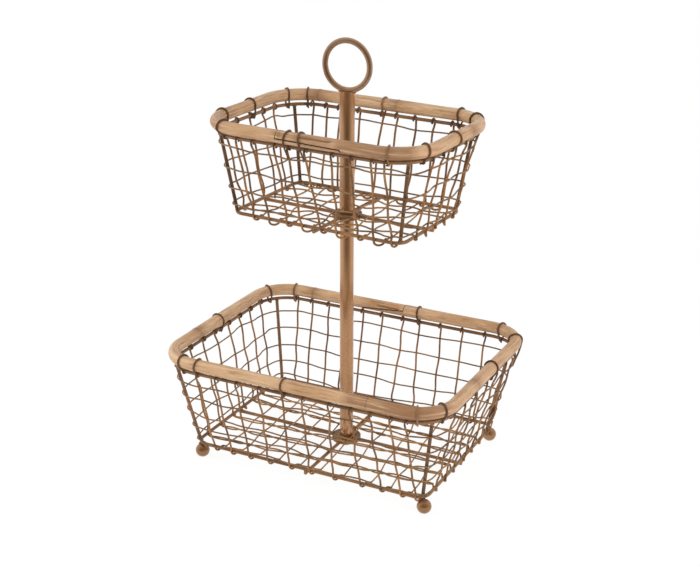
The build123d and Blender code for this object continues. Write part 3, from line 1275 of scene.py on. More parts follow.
@dataclass(frozen=True)
class Tie:
    """One loop that binds the cane to the top ring.

    It lies along a wall, at a place in millimetres from the wall's middle, or on the bend after a
    wall, at an angle in degrees. Its top leans along the rim by lean millimetres. Where it has a
    reach, its outer end isn't wound round the ring but runs down the wall that many millimetres.
    A worn one is paler than the rest.
    """

    side: Side
    along: float | None = None
    angle: float | None = None
    lean: float = 0.0
    reach: float = 0.0
    worn: bool = False


@dataclass
class RimTies:
    """The loops that bind one rim.

    Each starts in a tail inside the ring, goes over the cane and then round the ring. The tables
    give angles in degrees round the ring or the cane, up from the outer side, and for the ring also
    the gap to it and the shift along it in millimetres. A loop whose end runs down the wall has
    shares of its reach and of its sideways bow.
    """

    TAIL = ((250, 1.2, -1.2), (215, 0.2, -0.8), (180, 0.2, -0.8))
    OVER_CANE = (195, 165, 135, 105, 75, 45, 15, -15)
    ROUND_RING = ((10, 0.0, 0.4), (-35, 0.0, 0.4), (-80, 0.0, 0.4), (-125, 0.0, 0.4), (-170, 0.0, 0.4),
                  (-200, 0.3, 1.4))
    DOWN_WALL_SHARES = ((0.25, 0.3), (0.6, 1.0), (1.0, 0.4))
    TOP = 90

    form: BasketForm
    ties: tuple[Tie, ...]
    seed: int
    wire: float = 2.25 * MM
    play: float = 0.02 * MM
    lean_reach: float = 120.0
    end_angle: float = -215.0
    end_gap: Span = (0.5 * MM, 2.0 * MM)
    end_shift: float = 2.4 * MM
    bow: Span = (0.6 * MM, 1.6 * MM)
    first_gap_share: float = 1.15
    gap_loss_share: float = 0.4

    def station(self, tie: Tie) -> tuple[Vector, Vector, Vector]:
        """Where a tie is on the rim.

        Args:
            tie: The tie.

        Returns:
            Centre of the top ring there, and the directions out of and along the rim.
        """
        if tie.along is not None:
            centre = self.form.on_wall(tie.side, tie.along * MM, 1)
            return centre, self.form.turned(tie.side.out), self.form.turned(tie.side.along)
        angle = math.radians(tie.angle or 0.0)
        way = tie.side.round_bend(angle)
        run = tie.side.along * math.cos(angle) - tie.side.out * math.sin(angle)
        return self.form.on_bend(tie.side, angle, 1), self.form.turned(way), self.form.turned(run)

    def run(self, tie: Tie, chance: random.Random) -> WireRun:
        """Centreline of one tie, from its tail inside the ring to its end.

        Args:
            tie: The tie.
            chance: Source of the handwork's small errors.

        Returns:
            The centreline.
        """
        centre, out, along = self.station(tie)
        rise = self.form.cane_height - self.form.top_height
        over_cane = (self.form.cane + self.wire) / 2 + self.play
        round_rod = (self.form.rod + self.wire) / 2 + self.play
        lean = tie.lean * MM

        def at(middle: Vector, reach: float, degrees: float, shift: float) -> Vector:
            """Place at an angle round a rod's or the cane's centre."""
            angle = math.radians(degrees)
            return middle + out * (reach * math.cos(angle)) + UP * (reach * math.sin(angle)) + along * shift

        def round_ring(turns: Sequence[tuple[float, float, float]]) -> list[Vector]:
            """Places round the ring, by their angles, gaps and shifts."""
            return [at(centre, round_rod + gap * MM, degrees, shift * MM) for degrees, gap, shift in turns]

        cane = centre + UP * rise + out * self.form.cane_outset
        points = round_ring(self.TAIL)
        points += [at(cane, over_cane, degrees, lean * (1 - abs(degrees - self.TOP) / self.lean_reach))
                   for degrees in self.OVER_CANE]
        if tie.reach:
            bow = chance.uniform(*self.bow)
            for share, aside in self.DOWN_WALL_SHARES:
                gap = 2 * round_rod * (self.first_gap_share - share * self.gap_loss_share)
                points.append(self.down_wall(tie, tie.reach * MM * share, gap) + along * bow * aside)
            return WireRun(points)
        points += round_ring(self.ROUND_RING)
        points.append(at(centre, round_rod + chance.uniform(*self.end_gap), self.end_angle, self.end_shift))
        return WireRun(points)

    def down_wall(self, tie: Tie, drop: float, outward: float) -> Vector:
        """A place under a tie.

        Args:
            tie: The tie.
            drop: How far down the wall the place is.
            outward: How far out of the wall it is.

        Returns:
            The place.
        """
        share = 1 - drop / self.form.depth
        if tie.along is not None:
            return self.form.on_wall(tie.side, tie.along * MM, share, outward)
        return self.form.on_bend(tie.side, math.radians(tie.angle or 0.0), share, outward)

    def build(self, palette: Palette) -> None:
        """Bends the loops.

        Args:
            palette: The finishes.
        """
        chance = random.Random(self.seed)
        dark = [self.run(tie, chance) for tie in self.ties if not tie.worn]
        worn = [self.run(tie, chance) for tie in self.ties if tie.worn]
        piece = bend_wires(f"{self.form.name}_rim_loops", dark, self.wire)
        finish_piece(piece, palette.tie, [f"{self.form.name}_rim_ties"])
        piece = bend_wires(f"{self.form.name}_worn_loops", worn, self.wire)
        finish_piece(piece, palette.rim)


@dataclass(frozen=True)
class BeddingWire:
    """A short wire laid between the top ring and the cane, where no upright passes. It fills the gap
    there, and its dark finish is partly painted shade, standing in for the cane's shadow on the ring.

    It lies on the bend after a wall, from its first to its last angle in degrees.
    """

    form: BasketForm
    side: Side
    first: float
    last: float
    steps: int = 12

    def build(self, palette: Palette) -> None:
        """Lays the wire.

        Args:
            palette: The finishes.
        """
        rise = self.form.cane_height - self.form.top_height
        stack = math.hypot(rise, self.form.cane_outset)
        wire = stack - (self.form.rod + self.form.cane) / 2 - 2 * CLEARANCE
        share = ((self.form.rod + wire) / 2 + CLEARANCE) / stack
        points = []
        for step in range(self.steps + 1):
            angle = math.radians(self.first + (self.last - self.first) * step / self.steps)
            way = self.form.turned(self.side.round_bend(angle))
            toward_cane = way * self.form.cane_outset + UP * rise
            points.append(self.form.on_bend(self.side, angle, 1) + toward_cane * share)
        piece = bend_wires(f"{self.form.name}_bedding_wire", [WireRun(points)], wire)
        # The dark tie finish is partly painted shade under the cane.
        finish_piece(piece, palette.tie)


@dataclass(frozen=True)
class Mark:
    """A mark on the cane, which reaches along a wall in millimetres from its middle."""

    side: Side
    start: float
    end: float


@dataclass(frozen=True)
class Stain(Mark):
    """A stretch of darker skin, and how dark it is."""

    darkness: float


@dataclass(frozen=True)
class Crack(Mark):
    """A split at a height in degrees up from the outer side, some millimetres deep."""

    height: float
    depth: float = 0.6


@dataclass(frozen=True)
class Chip(Mark):
    """A bare patch where the skin has come off, at a height in degrees and some degrees wide."""

    height: float
    width: float = 24.0


@dataclass
class Cane:
    """The cane of one rim: one length bent round, its two ends lapped in a long scarf.

    The lap starts with a blunt end on top, and the other end runs on under it. Its faces are given
    by their heights over the cane's centre at the start and the end of the lap.
    """

    GRAIN = "straightened"
    RING = "growth_ring"
    CUT = "cut_face"
    SHADE = "darker_skin"
    CHIP = "bare_wood"

    form: BasketForm
    scarf_side: Side
    scarf_start: float
    scarf_length: float
    scarf_heights: tuple[float, float]
    growth_rings: tuple[tuple[Side, float], ...]
    seed: int
    stains: tuple[Stain, ...] = ()
    cracks: tuple[Crack, ...] = ()
    chips: tuple[Chip, ...] = ()
    step: float = 2.5 * MM
    facets: int = 44
    skin: float = 0.1 * MM
    seam: float = 1.0 * MM
    butt_gap: float = 1.0 * MM
    cut_step: float = 0.02 * MM
    cut_shoulder: float = 0.6 * MM
    ring_swell: float = 0.4 * MM
    ring_width: float = 1.5 * MM
    ring_steps: tuple[int, ...] = (-2, -1, 0, 1, 2)
    ring_line_share: float = 0.55
    ring_darkness: float = 0.4
    cut_darkness: float = 0.9
    node_width: float = 11 * MM
    node_darkness: float = 0.75
    shade_fade: float = 12 * MM
    end_fade: float = 4 * MM
    chip_fade_shares: Span = (0.3, 0.8)
    split_depth: float = 0.2 * MM
    unevenness: float = 0.3 * MM
    uneven_fineness: float = 18.0
    uneven_lane: float = 0.5

    @property
    def radius(self) -> float:
        """Radius of the cane."""
        return self.form.cane / 2

    @cached_property
    def stretches(self) -> list[tuple[float, Callable[[float], tuple[Vector, Vector]]]]:
        """The rim's straight stretches and bends in order.

        Returns:
            For each its length and a function that gives a place on it and the direction out of
            the rim, by the distance along it.
        """
        found = []
        sides = list(Side)
        first = sides.index(self.scarf_side)
        radius = self.form.top_corner + self.form.cane_outset
        for side in sides[first:] + sides[:first]:
            half_along, half_out = self.form.halves(1, side)
            straight = half_along - self.form.top_corner
            out_to = half_out + self.form.cane_outset

            def on_straight(run: float, side: Side = side, straight: float = straight,
                            out_to: float = out_to) -> tuple[Vector, Vector]:
                """Place on the straight stretch."""
                return side.along * (run - straight) + side.out * out_to, side.out

            def on_corner(run: float, side: Side = side, straight: float = straight,
                          out_to: float = out_to) -> tuple[Vector, Vector]:
                """Place on the bend after it."""
                way = side.round_bend(run / radius)
                return side.along * straight + side.out * (out_to - radius) + way * radius, way

            found.append((2 * straight, on_straight))
            found.append((radius * math.pi / 2, on_corner))
        return found

    @cached_property
    def rim_length(self) -> float:
        """Length once round the rim."""
        return sum(length for length, _ in self.stretches)

    def run_at(self, side: Side, along: float) -> float:
        """Distance round the rim of a place on a wall.

        Args:
            side: The wall.
            along: Distance from the wall's middle.

        Returns:
            The distance from the start of the straight stretch that has the scarf.
        """
        sides = list(Side)
        count = (sides.index(side) - sides.index(self.scarf_side)) % len(sides)
        before = sum(length for length, _ in self.stretches[: 2 * count])
        return before + self.form.halves(1, side)[0] - self.form.top_corner + along

    def ends(self, mark: Mark) -> tuple[float, float]:
        """Distances round the rim of a mark's two ends."""
        return self.run_at(mark.side, mark.start * MM), self.run_at(mark.side, mark.end * MM)

    def centre(self, run: float) -> tuple[Vector, Vector]:
        """Middle of the cane at a place.

        Args:
            run: Distance round the rim.

        Returns:
            The cane's centre and the direction out of the rim.
        """
        left = run % self.rim_length
        for length, place in self.stretches:
            if left <= length:
                centre, way = place(left)
                return centre + UP * self.form.cane_height, way
            left -= length
        raise ValueError("the run is past the rim's end")

    def lap_height(self, past: float) -> float:
        """Height of the lap's face over the cane's centre, by the distance past the blunt end."""
        first, last = self.scarf_heights
        return first + (last - first) * past / self.scarf_length

    def girth(self, run: float) -> float:
        """Radius of the cane at a place, with its growth rings and its unevenness.

        Args:
            run: Distance round the rim.

        Returns:
            The radius.
        """
        swell = sum(self.ring_swell * math.exp(-((run - at) / self.ring_width) ** 2) for at in self.rings)
        lane = Vector((run * self.uneven_fineness, self.seed, self.uneven_lane))
        return self.radius + self.skin + swell + self.unevenness * noise.noise(lane)

    @cached_property
    def rings(self) -> list[float]:
        """Distances round the rim of the growth rings."""
        return [self.run_at(side, along * MM) for side, along in self.growth_rings]

    def lengths(self) -> list[float]:
        """Places of the cane's cross-sections, closer together at rings and cuts.

        Returns:
            Their distances round the rim in order.
        """
        start = self.run_at(self.scarf_side, self.scarf_start)
        whole = self.rim_length + self.scarf_length
        count = round(whole / self.step)
        marks = {start + whole * index / count for index in range(count + 1)}
        for ring in self.rings:
            for step in self.ring_steps:
                place = ring + step * self.ring_width / 2
                marks.add(place if place > start else place + self.rim_length)
        for cut in (start, start + self.rim_length):
            marks.update((cut + self.cut_step, cut + self.cut_shoulder))
        end_cut = start + self.rim_length - self.butt_gap
        marks.update((end_cut, end_cut + self.cut_step))
        return sorted(mark for mark in marks if start <= mark <= start + whole)

    def build(self, palette: Palette) -> None:
        """Lays one cross-section after another along the rim and joins each to the one before.

        Args:
            palette: The finishes.
        """
        shape = bmesh.new()
        layers = [shape.verts.layers.float_vector.new(self.GRAIN)]
        for name in (self.RING, self.CUT, self.SHADE, self.CHIP):
            layers.append(shape.verts.layers.float.new(name))
        start = self.run_at(self.scarf_side, self.scarf_start)
        before: list[Vert] = []
        for run in self.lengths():
            verts = [shape.verts.new() for _ in range(self.facets)]
            self.set_ring(verts, run, start, layers)
            for index, vert in enumerate(before):
                shape.faces.new((before[index - 1], vert, verts[index], verts[index - 1]))
            before = verts
        self.cap(shape)
        piece = mesh_from(shape, f"{self.form.name}_cane")
        finish_piece(piece, palette.cane, [f"{self.form.name}_rim_cane"])

    def shade(self, run: float) -> float:
        """How much darker the skin is near growth rings and along stains.

        Args:
            run: Distance round the rim.

        Returns:
            The darkness, from 0 to 1.
        """
        found = [0.0]
        for at in self.rings:
            for place in (at, at + self.rim_length):
                found.append(self.node_darkness * math.exp(-((run - place) / self.node_width) ** 2))
        for stain in self.stains:
            first, last = self.ends(stain)
            for turn in (0.0, self.rim_length):
                inside = min(run - first - turn, last + turn - run) / self.shade_fade
                found.append(stain.darkness * max(0.0, min(1.0, 0.5 + inside)))
        return max(found)

    def crack_depth(self, run: float, angle: float) -> float:
        """Depth of a crack at a place on the skin.

        Args:
            run: Distance round the rim.
            angle: Angle up from the outer side.

        Returns:
            The depth, or 0 beside the cracks.
        """
        deepest = 0.0
        for crack in self.cracks:
            first, last = self.ends(crack)
            inside = min((run - first) % self.rim_length, (last - run) % self.rim_length)
            if not 0 <= (run - first) % self.rim_length <= last - first:
                continue
            off = abs(angle - math.radians(crack.height)) / (2 * math.pi / self.facets)
            ends = min(1.0, inside / self.end_fade)
            deepest = max(deepest, crack.depth * MM * max(0.0, 1 - off) * ends)
        return deepest

    def chipped(self, run: float, angle: float) -> float:
        """How bare the wood is at a place on the skin.

        Args:
            run: Distance round the rim.
            angle: Angle up from the outer side.

        Returns:
            The bareness, from 0 to 1.
        """
        bare = 0.0
        full, gone = self.chip_fade_shares
        for chip in self.chips:
            first, last = self.ends(chip)
            past = (run - first) % self.rim_length
            if past > last - first:
                continue
            ends = min(past, last - first - past) / self.end_fade
            off = abs(angle - math.radians(chip.height)) / math.radians(chip.width)
            bare = max(bare, min(1.0, ends) * max(0.0, min(1.0, (gone - off) / (gone - full))))
        return bare

    def set_ring(self, verts: list[Vert], run: float, start: float,
                 layers: Sequence[bmesh.types.BMLayerItem]) -> None:
        """Places one cross-section, cut flat along the lap, and marks it for the finish.

        Args:
            verts: The cross-section's vertices in order.
            run: Distance round the rim.
            start: Distance at which the cane starts.
            layers: The grain, ring, cut, shade and chip layers.
        """
        grain, ring_mark, cut_mark, shade_mark, chip_mark = layers
        centre, out = self.centre(run)
        girth = self.girth(run)
        shade = self.shade(run)
        both_turns = self.rings + [at + self.rim_length for at in self.rings]
        line = self.ring_width * self.ring_line_share
        near_ring = max((math.exp(-((run - at) / line) ** 2) for at in both_turns), default=0.0)
        past_start = run - start
        past_end = run - start - self.rim_length
        for index, vert in enumerate(verts):
            angle = 2 * math.pi * index / len(verts)
            split = self.crack_depth(run, angle)
            reach = girth - split
            side, height = reach * math.cos(angle), reach * math.sin(angle)
            cut = 1.0 if split > self.split_depth else 0.0
            if past_start <= self.scarf_length:
                floor = self.lap_height(past_start) + self.seam
                if height < floor:
                    height = floor
                    cut = 1.0
            elif past_end > self.cut_step / 2 - self.butt_gap:
                ceiling = self.lap_height(max(0.0, past_end))
                if height > ceiling:
                    height = ceiling
                    cut = 1.0
            vert.co = self.form.turned(centre + out * side + UP * height)
            vert[grain] = Vector((math.cos(angle) * self.radius, math.sin(angle) * self.radius, run))
            vert[ring_mark] = near_ring * self.ring_darkness
            vert[cut_mark] = cut * self.cut_darkness
            vert[shade_mark] = shade
            vert[chip_mark] = self.chipped(run, angle)

    @staticmethod
    def cap(shape: bmesh.types.BMesh) -> None:
        """Closes the two ends of the cane.

        Args:
            shape: The cane's open tube.
        """
        bmesh.ops.remove_doubles(shape, verts=shape.verts, dist=SAME_PLACE)
        rim_edges = [edge for edge in shape.edges if edge.is_boundary]
        bmesh.ops.holes_fill(shape, edges=rim_edges, sides=0)
        bmesh.ops.recalc_face_normals(shape, faces=shape.faces)


@dataclass(frozen=True)
class Lump:
    """A ball of metal with an uneven surface: a pattern of noise, its fineness in cycles a metre."""

    diameter: float
    unevenness: float
    fineness: float
    divisions: int = 3

    def add(self, shape: bmesh.types.BMesh, seed: Vector, place: Vector,
            squash: Sequence[float] = (1.0, 1.0, 1.0)) -> list[Vert]:
        """Adds the lump to a shape.

        Args:
            shape: The shape.
            seed: Where its pattern starts in the noise.
            place: Its centre.
            squash: Its scale along each axis.

        Returns:
            Its vertices.
        """
        made = bmesh.ops.create_icosphere(shape, subdivisions=self.divisions, radius=self.diameter / 2)
        for vert in made["verts"]:
            vert.co *= 1 + self.unevenness * noise.noise(vert.co * self.fineness + seed)
        size = Matrix.Diagonal((*squash, 1.0))
        bmesh.ops.transform(shape, matrix=Matrix.Translation(place) @ size, verts=made["verts"])
        return made["verts"]


@dataclass
class Welds:
    """Small beads where a basket's posts and floor bars meet its rings."""

    form: BasketForm
    bead: Lump = Lump(5.4 * MM, 0.16, 420, divisions=2)
    squash: float = 0.62
    squash_play: Span = (0.9, 1.1)
    inset_share: float = 0.55
    seed_spread: float = 50.0
    seed: int = 3

    def places(self) -> list[Vector]:
        """Places of the beads.

        Returns:
            Their centres.
        """
        found = []
        inset = self.form.rod * self.inset_share
        for side in Side:
            for share, lift in ((0.0, inset), (1.0, -inset)):
                found.append(self.form.on_bend(side, MID_BEND, share) + UP * lift)
            found.append(self.form.on_wall(side, 0.0, 0.0) - UP * inset)
        return found

    def build(self, palette: Palette) -> None:
        """Makes the beads.

        Args:
            palette: The finishes.
        """
        shape = bmesh.new()
        chance = random.Random(self.seed)
        for place in self.places():
            size = (chance.uniform(*self.squash_play), chance.uniform(*self.squash_play), self.squash)
            self.bead.add(shape, place * self.seed_spread, place, size)
        piece = mesh_from(shape, f"{self.form.name}_weld_beads", NO_EDGE)
        finish_piece(piece, palette.rod)


@dataclass(frozen=True)
class PostWrap:
    """A few turns of wire wound round the corner post after a wall, from a share of its height up."""

    form: BasketForm
    side: Side
    share: float
    turns: int = 6
    points_a_turn: int = 8
    wire: float = 2.2 * MM
    pitch_share: float = 1.06
    slack: float = 0.3 * MM
    slack_step: float = 0.37
    slack_seed: float = 2.0

    def build(self, palette: Palette) -> None:
        """Winds the wire.

        Args:
            palette: The finishes.
        """
        foot = self.form.on_bend(self.side, MID_BEND, self.share)
        axis = (self.form.on_bend(self.side, MID_BEND, 1.0) - foot).normalized()
        aside = axis.cross(UP).normalized()
        ahead = axis.cross(aside)
        reach = (self.form.rod + self.wire) / 2 + CLEARANCE
        points = []
        for step in range(-1, self.points_a_turn * self.turns + 2):
            angle = 2 * math.pi * step / self.points_a_turn
            slack = self.slack * noise.noise(Vector((step * self.slack_step, self.slack_seed, 0.0)))
            turned = aside * math.cos(angle) + ahead * math.sin(angle)
            rise = self.wire * self.pitch_share * step / self.points_a_turn
            points.append(foot + axis * rise + turned * (reach + abs(slack)))
        piece = bend_wires(f"{self.form.name}_post_wrap", [WireRun(points)], self.wire)
        finish_piece(piece, palette.tie)


@dataclass
class Basket:
    """One whole basket: its weave, its ties, its cane, its welds, its bare rods and its extra wires."""

    weave: Weave
    ties: RimTies
    cane: Cane
    welds: Welds
    bedding: BeddingWire
    dark_posts: tuple[str, ...]
    wraps: tuple[PostWrap, ...] = ()

    def build(self, palette: Palette) -> None:
        """Builds and dresses the basket.

        Args:
            palette: The finishes.
        """
        self.weave.build(palette)
        self.ties.build(palette)
        self.cane.build(palette)
        self.welds.build(palette)
        self.bedding.build(palette)
        for wrap in self.wraps:
            wrap.build(palette)
        name = self.weave.form.name
        for rod in ("base_ring", "long_floor_bars", "cross_floor_bars"):
            dress(f"{name}_{rod}", palette.rod)
        for corner in CORNERS:
            dress(f"{name}_{corner}_post", palette.tie if corner in self.dark_posts else palette.rim)
        # The top ring's rim finish, a little darker than the rods, is partly painted shade from the cane
        # above.
        for node in ("top_ring", "hub"):
            dress(f"{name}_{node}", palette.rim)


def dress(node: str, material: bpy.types.Material) -> None:
    """Gives a CAD node its finish and leaves its shape.

    Args:
        node: The node's name.
        material: The finish.
    """
    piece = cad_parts[node]
    if not piece.material_slots:
        piece.data.materials.append(material)
    for slot in piece.material_slots:
        slot.material = material
    log.info("%s: dressed", node)


@dataclass(frozen=True)
class BallFoot:
    """One ball foot, a little off its pin, with a small flat to stand on and weld round the pin."""

    corner: str
    aside: float
    forward: float = 0.0
    flat: float = 6 * MM
    flat_edge: float = math.radians(60)
    ball: Lump = Lump(16.6 * MM, 0.012, 170, divisions=4)
    ball_seed_spread: float = 30.0
    bead: Lump = Lump(6.4 * MM, 0.12, 500)
    bead_seed_spread: float = 50.0
    bead_squash: tuple[float, float, float] = (1.0, 1.0, 0.5)

    def build(self, palette: Palette) -> None:
        """Makes the foot in place of its CAD node.

        Args:
            palette: The finishes.
        """
        node = f"{self.corner}_foot"
        low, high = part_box(node)
        pin = Vector(((low.x + high.x) / 2, (low.y + high.y) / 2, 0.0))
        radius = self.ball.diameter / 2
        height = math.sqrt(radius**2 - (self.flat / 2) ** 2)
        centre = pin + Vector((self.aside, -self.forward, height))
        shape = bmesh.new()
        for vert in self.ball.add(shape, centre * self.ball_seed_spread, centre):
            vert.co.z = max(vert.co.z, 0.0)
        piece = mesh_from(shape, f"{self.corner}_ball", self.flat_edge)
        finish_piece(piece, palette.foot, [node])
        beaded = pin + UP * (height + math.sqrt(radius**2 - self.aside**2 - self.forward**2))
        shape = bmesh.new()
        self.bead.add(shape, centre * self.bead_seed_spread, beaded, self.bead_squash)
        piece = mesh_from(shape, f"{self.corner}_foot_bead", NO_EDGE)
        finish_piece(piece, palette.tie)


@dataclass(frozen=True)
class PostAndFeet:
    """The post, its handle and its fastening, which keep their CAD shapes, and the feet."""

    painted: tuple[str, ...] = ("lower_post_tube", "upper_post_tube", "post_cap")
    feet: tuple[BallFoot, ...] = (
        BallFoot("front_left", aside=2.0 * MM, forward=0.8 * MM),
        BallFoot("front_right", aside=2.3 * MM, forward=0.8 * MM),
        BallFoot("back_left", aside=1.5 * MM),
        BallFoot("back_right", aside=1.8 * MM),
    )
    plated: tuple[str, ...] = ("tie_rod", "tie_washer", "tie_nut")
    fillet: Lump = Lump(5.4 * MM, 0.1, 500)
    fillet_squash: tuple[float, float, float] = (1.0, 0.9, 0.8)
    fillet_out: float = 0.1 * MM
    fillet_drop: float = 0.2 * MM

    def build(self, palette: Palette) -> None:
        """Dresses the post and its fastening and makes the feet and the handle's weld.

        Args:
            palette: The finishes.
        """
        for node in self.painted:
            dress(node, palette.post)
        for foot in self.feet:
            foot.build(palette)
        dress("foot_pins", palette.tie)
        dress("ring_handle", palette.handle)
        for node in self.plated:
            dress(node, palette.zinc)
        self.weld_handle(palette)

    def weld_handle(self, palette: Palette) -> None:
        """Makes the two small fillets of weld between the ring handle and the cap.

        Args:
            palette: The finishes.
        """
        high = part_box("post_cap")[1]
        shape = bmesh.new()
        for hand in (-1, 1):
            place = Vector((hand * (high.x + self.fillet_out), 0.0, high.z - self.fillet_drop))
            self.fillet.add(shape, Vector(), place, self.fillet_squash)
        piece = mesh_from(shape, "handle_weld", NO_EDGE)
        finish_piece(piece, palette.handle)


# The studio


@dataclass(frozen=True)
class Lamp:
    """One soft lamp that points at the object."""

    name: str
    place: tuple[float, float, float]
    size: tuple[float, float]
    power: float

    def build(self, target: Vector) -> None:
        """Hangs the lamp.

        Args:
            target: What it points at.
        """
        data = bpy.data.lights.new(self.name, "AREA")
        data.shape = "RECTANGLE"
        data.size, data.size_y = self.size
        data.energy = self.power
        lamp = bpy.data.objects.new(self.name, data)
        lamp.visible_glossy = False
        lamp.location = self.place
        lamp.rotation_euler = (Vector(self.place) - target).to_track_quat("Z", "Y").to_euler()
        bpy.context.scene.collection.objects.link(lamp)


@dataclass(frozen=True)
class Viewpoint:
    """The photograph's camera, as it was found from the rims, rings and posts."""

    place: tuple[float, float, float] = (0.67997, -1.32874, 0.78412)
    azimuth: float = math.radians(26.96)
    elevation: float = math.radians(20.98)
    roll: float = math.radians(0.18)
    focal_pixels: float = 1387.88
    picture_width: float = 700.0
    sensor: float = 36.0
    clip: Span = (0.05, 60.0)

    def build(self) -> None:
        """Sets up the camera."""
        data = bpy.data.cameras.new("viewpoint")
        data.sensor_width = self.sensor
        data.lens = self.focal_pixels / self.picture_width * self.sensor
        data.clip_start, data.clip_end = self.clip
        camera = bpy.data.objects.new("viewpoint", data)
        flat = math.cos(self.elevation)
        back = Vector((math.sin(self.azimuth) * flat, -math.cos(self.azimuth) * flat,
                       math.sin(self.elevation)))
        right = UP.cross(back).normalized()
        up = back.cross(right)
        across = right * math.cos(self.roll) + up * math.sin(self.roll)
        raised = up * math.cos(self.roll) - right * math.sin(self.roll)
        turn = Matrix((across, raised, back)).transposed()
        camera.matrix_world = Matrix.Translation(self.place) @ turn.to_4x4()
        bpy.context.scene.collection.objects.link(camera)
        bpy.context.scene.camera = camera


@dataclass(frozen=True)
class Studio:
    """Pale floor, soft lamps, a white room and the camera."""

    lamps: tuple[Lamp, ...]
    viewpoint: Viewpoint
    aim_height: float = 0.22
    floor_size: float = 14.0
    floor_tone: float = 0.80
    glow_from: float = 0.2
    glow_most: float = 1.12
    shadow_share: float = 0.2
    shadow_from: float = 0.3
    shadow_reach: float = 0.75
    room_light: float = 0.6
    dark_front: float = 0.05
    dark_from: float = 0.42
    dark_full_ratio: float = 1.7
    floor_front_span: Span = (0.30, 0.98)
    wall_front_span: Span = (0.0, 0.9)

    def build(self) -> None:
        """Sets up everything that isn't part of the object."""
        self.lay_floor()
        self.paint_room()
        for lamp in self.lamps:
            lamp.build(UP * self.aim_height)
        self.viewpoint.build()
        bpy.context.scene.view_settings.view_transform = "Standard"

    def lay_floor(self) -> None:
        """Lays the floor."""
        shape = bmesh.new()
        bmesh.ops.create_grid(shape, x_segments=1, y_segments=1, size=self.floor_size)
        floor = mesh_from(shape, "studio_floor")
        floor.data.materials.append(self.floor_material())

    def floor_material(self) -> bpy.types.Material:
        """Makes the floor's material: white with a faint shadow, but dark at the front in reflections.

        Returns:
            The new material.
        """
        made = bpy.data.materials.new("floor_white")
        graph = Graph(made)
        place = graph.add("TexCoord").outputs["Object"]
        distance = graph.add("VectorMath", operation="LENGTH")
        graph.join(place, distance.inputs[0])
        away = distance.outputs["Value"]
        matt = graph.add("BsdfDiffuse")
        matt.inputs["Color"].default_value = (self.floor_tone, self.floor_tone, self.floor_tone, 1.0)
        glow = graph.add("Emission")
        graph.join(graph.ramp(away, self.glow_from, self.shadow_reach, self.glow_most, 1.0),
                   glow.inputs["Strength"])
        path = graph.add("LightPath")
        looked_at = graph.looked_at(path)
        share = graph.ramp(away, self.shadow_from, self.shadow_reach, 1 - self.shadow_share, 1.0)
        plain = graph.mix_shaders(graph.math("MULTIPLY", looked_at, share), matt, glow)
        far_off = graph.ramp(away, self.dark_from, self.dark_from * self.dark_full_ratio)
        to_front = graph.ramp(self.frontness(graph, place, away), *self.floor_front_span)
        mirrored = graph.add("Emission")
        graph.join(graph.ramp(graph.math("MULTIPLY", far_off, to_front), 0.0, 1.0, 1.0, self.dark_front),
                   mirrored.inputs["Strength"])
        whole = graph.mix_shaders(path.outputs["Is Glossy Ray"], plain, mirrored)
        graph.join(whole.outputs[0], graph.add("OutputMaterial").inputs["Surface"])
        return made

    def frontness(self, graph: Graph, place: Socket, away: Socket | float) -> Socket:
        """How far a place or direction lies to the front, from -1 behind to 1 in front.

        Args:
            graph: The nodes to add to.
            place: The place or direction.
            away: Its length.

        Returns:
            The value.
        """
        front = graph.add("VectorMath", operation="DOT_PRODUCT")
        graph.join(place, front.inputs[0])
        azimuth = self.viewpoint.azimuth
        front.inputs[1].default_value = (math.sin(azimuth), -math.cos(azimuth), 0.0)
        return graph.math("DIVIDE", front.outputs["Value"], away)

    def paint_room(self) -> None:
        """Makes the room white to look at, with a darker front in reflections."""
        world = bpy.data.worlds.new("room")
        bpy.context.scene.world = world
        graph = Graph(world)
        way = graph.add("TexCoord").outputs["Generated"]
        wall = graph.ramp(self.frontness(graph, way, 1.0), *self.wall_front_span, 1.0, self.dark_front)
        path = graph.add("LightPath")
        looked_at = graph.looked_at(path)
        glossy = path.outputs["Is Glossy Ray"]
        shown = graph.math("MAXIMUM", looked_at, graph.math("MULTIPLY", glossy, wall))
        lit = graph.math("MULTIPLY", graph.math("SUBTRACT", 1.0, glossy), self.room_light)
        strength = graph.math("MAXIMUM", shown, lit)
        glow = graph.add("Background")
        glow.inputs["Color"].default_value = (1.0, 1.0, 1.0, 1.0)
        graph.join(strength, glow.inputs["Strength"])
        graph.join(glow.outputs[0], graph.add("OutputWorld").inputs["Surface"])


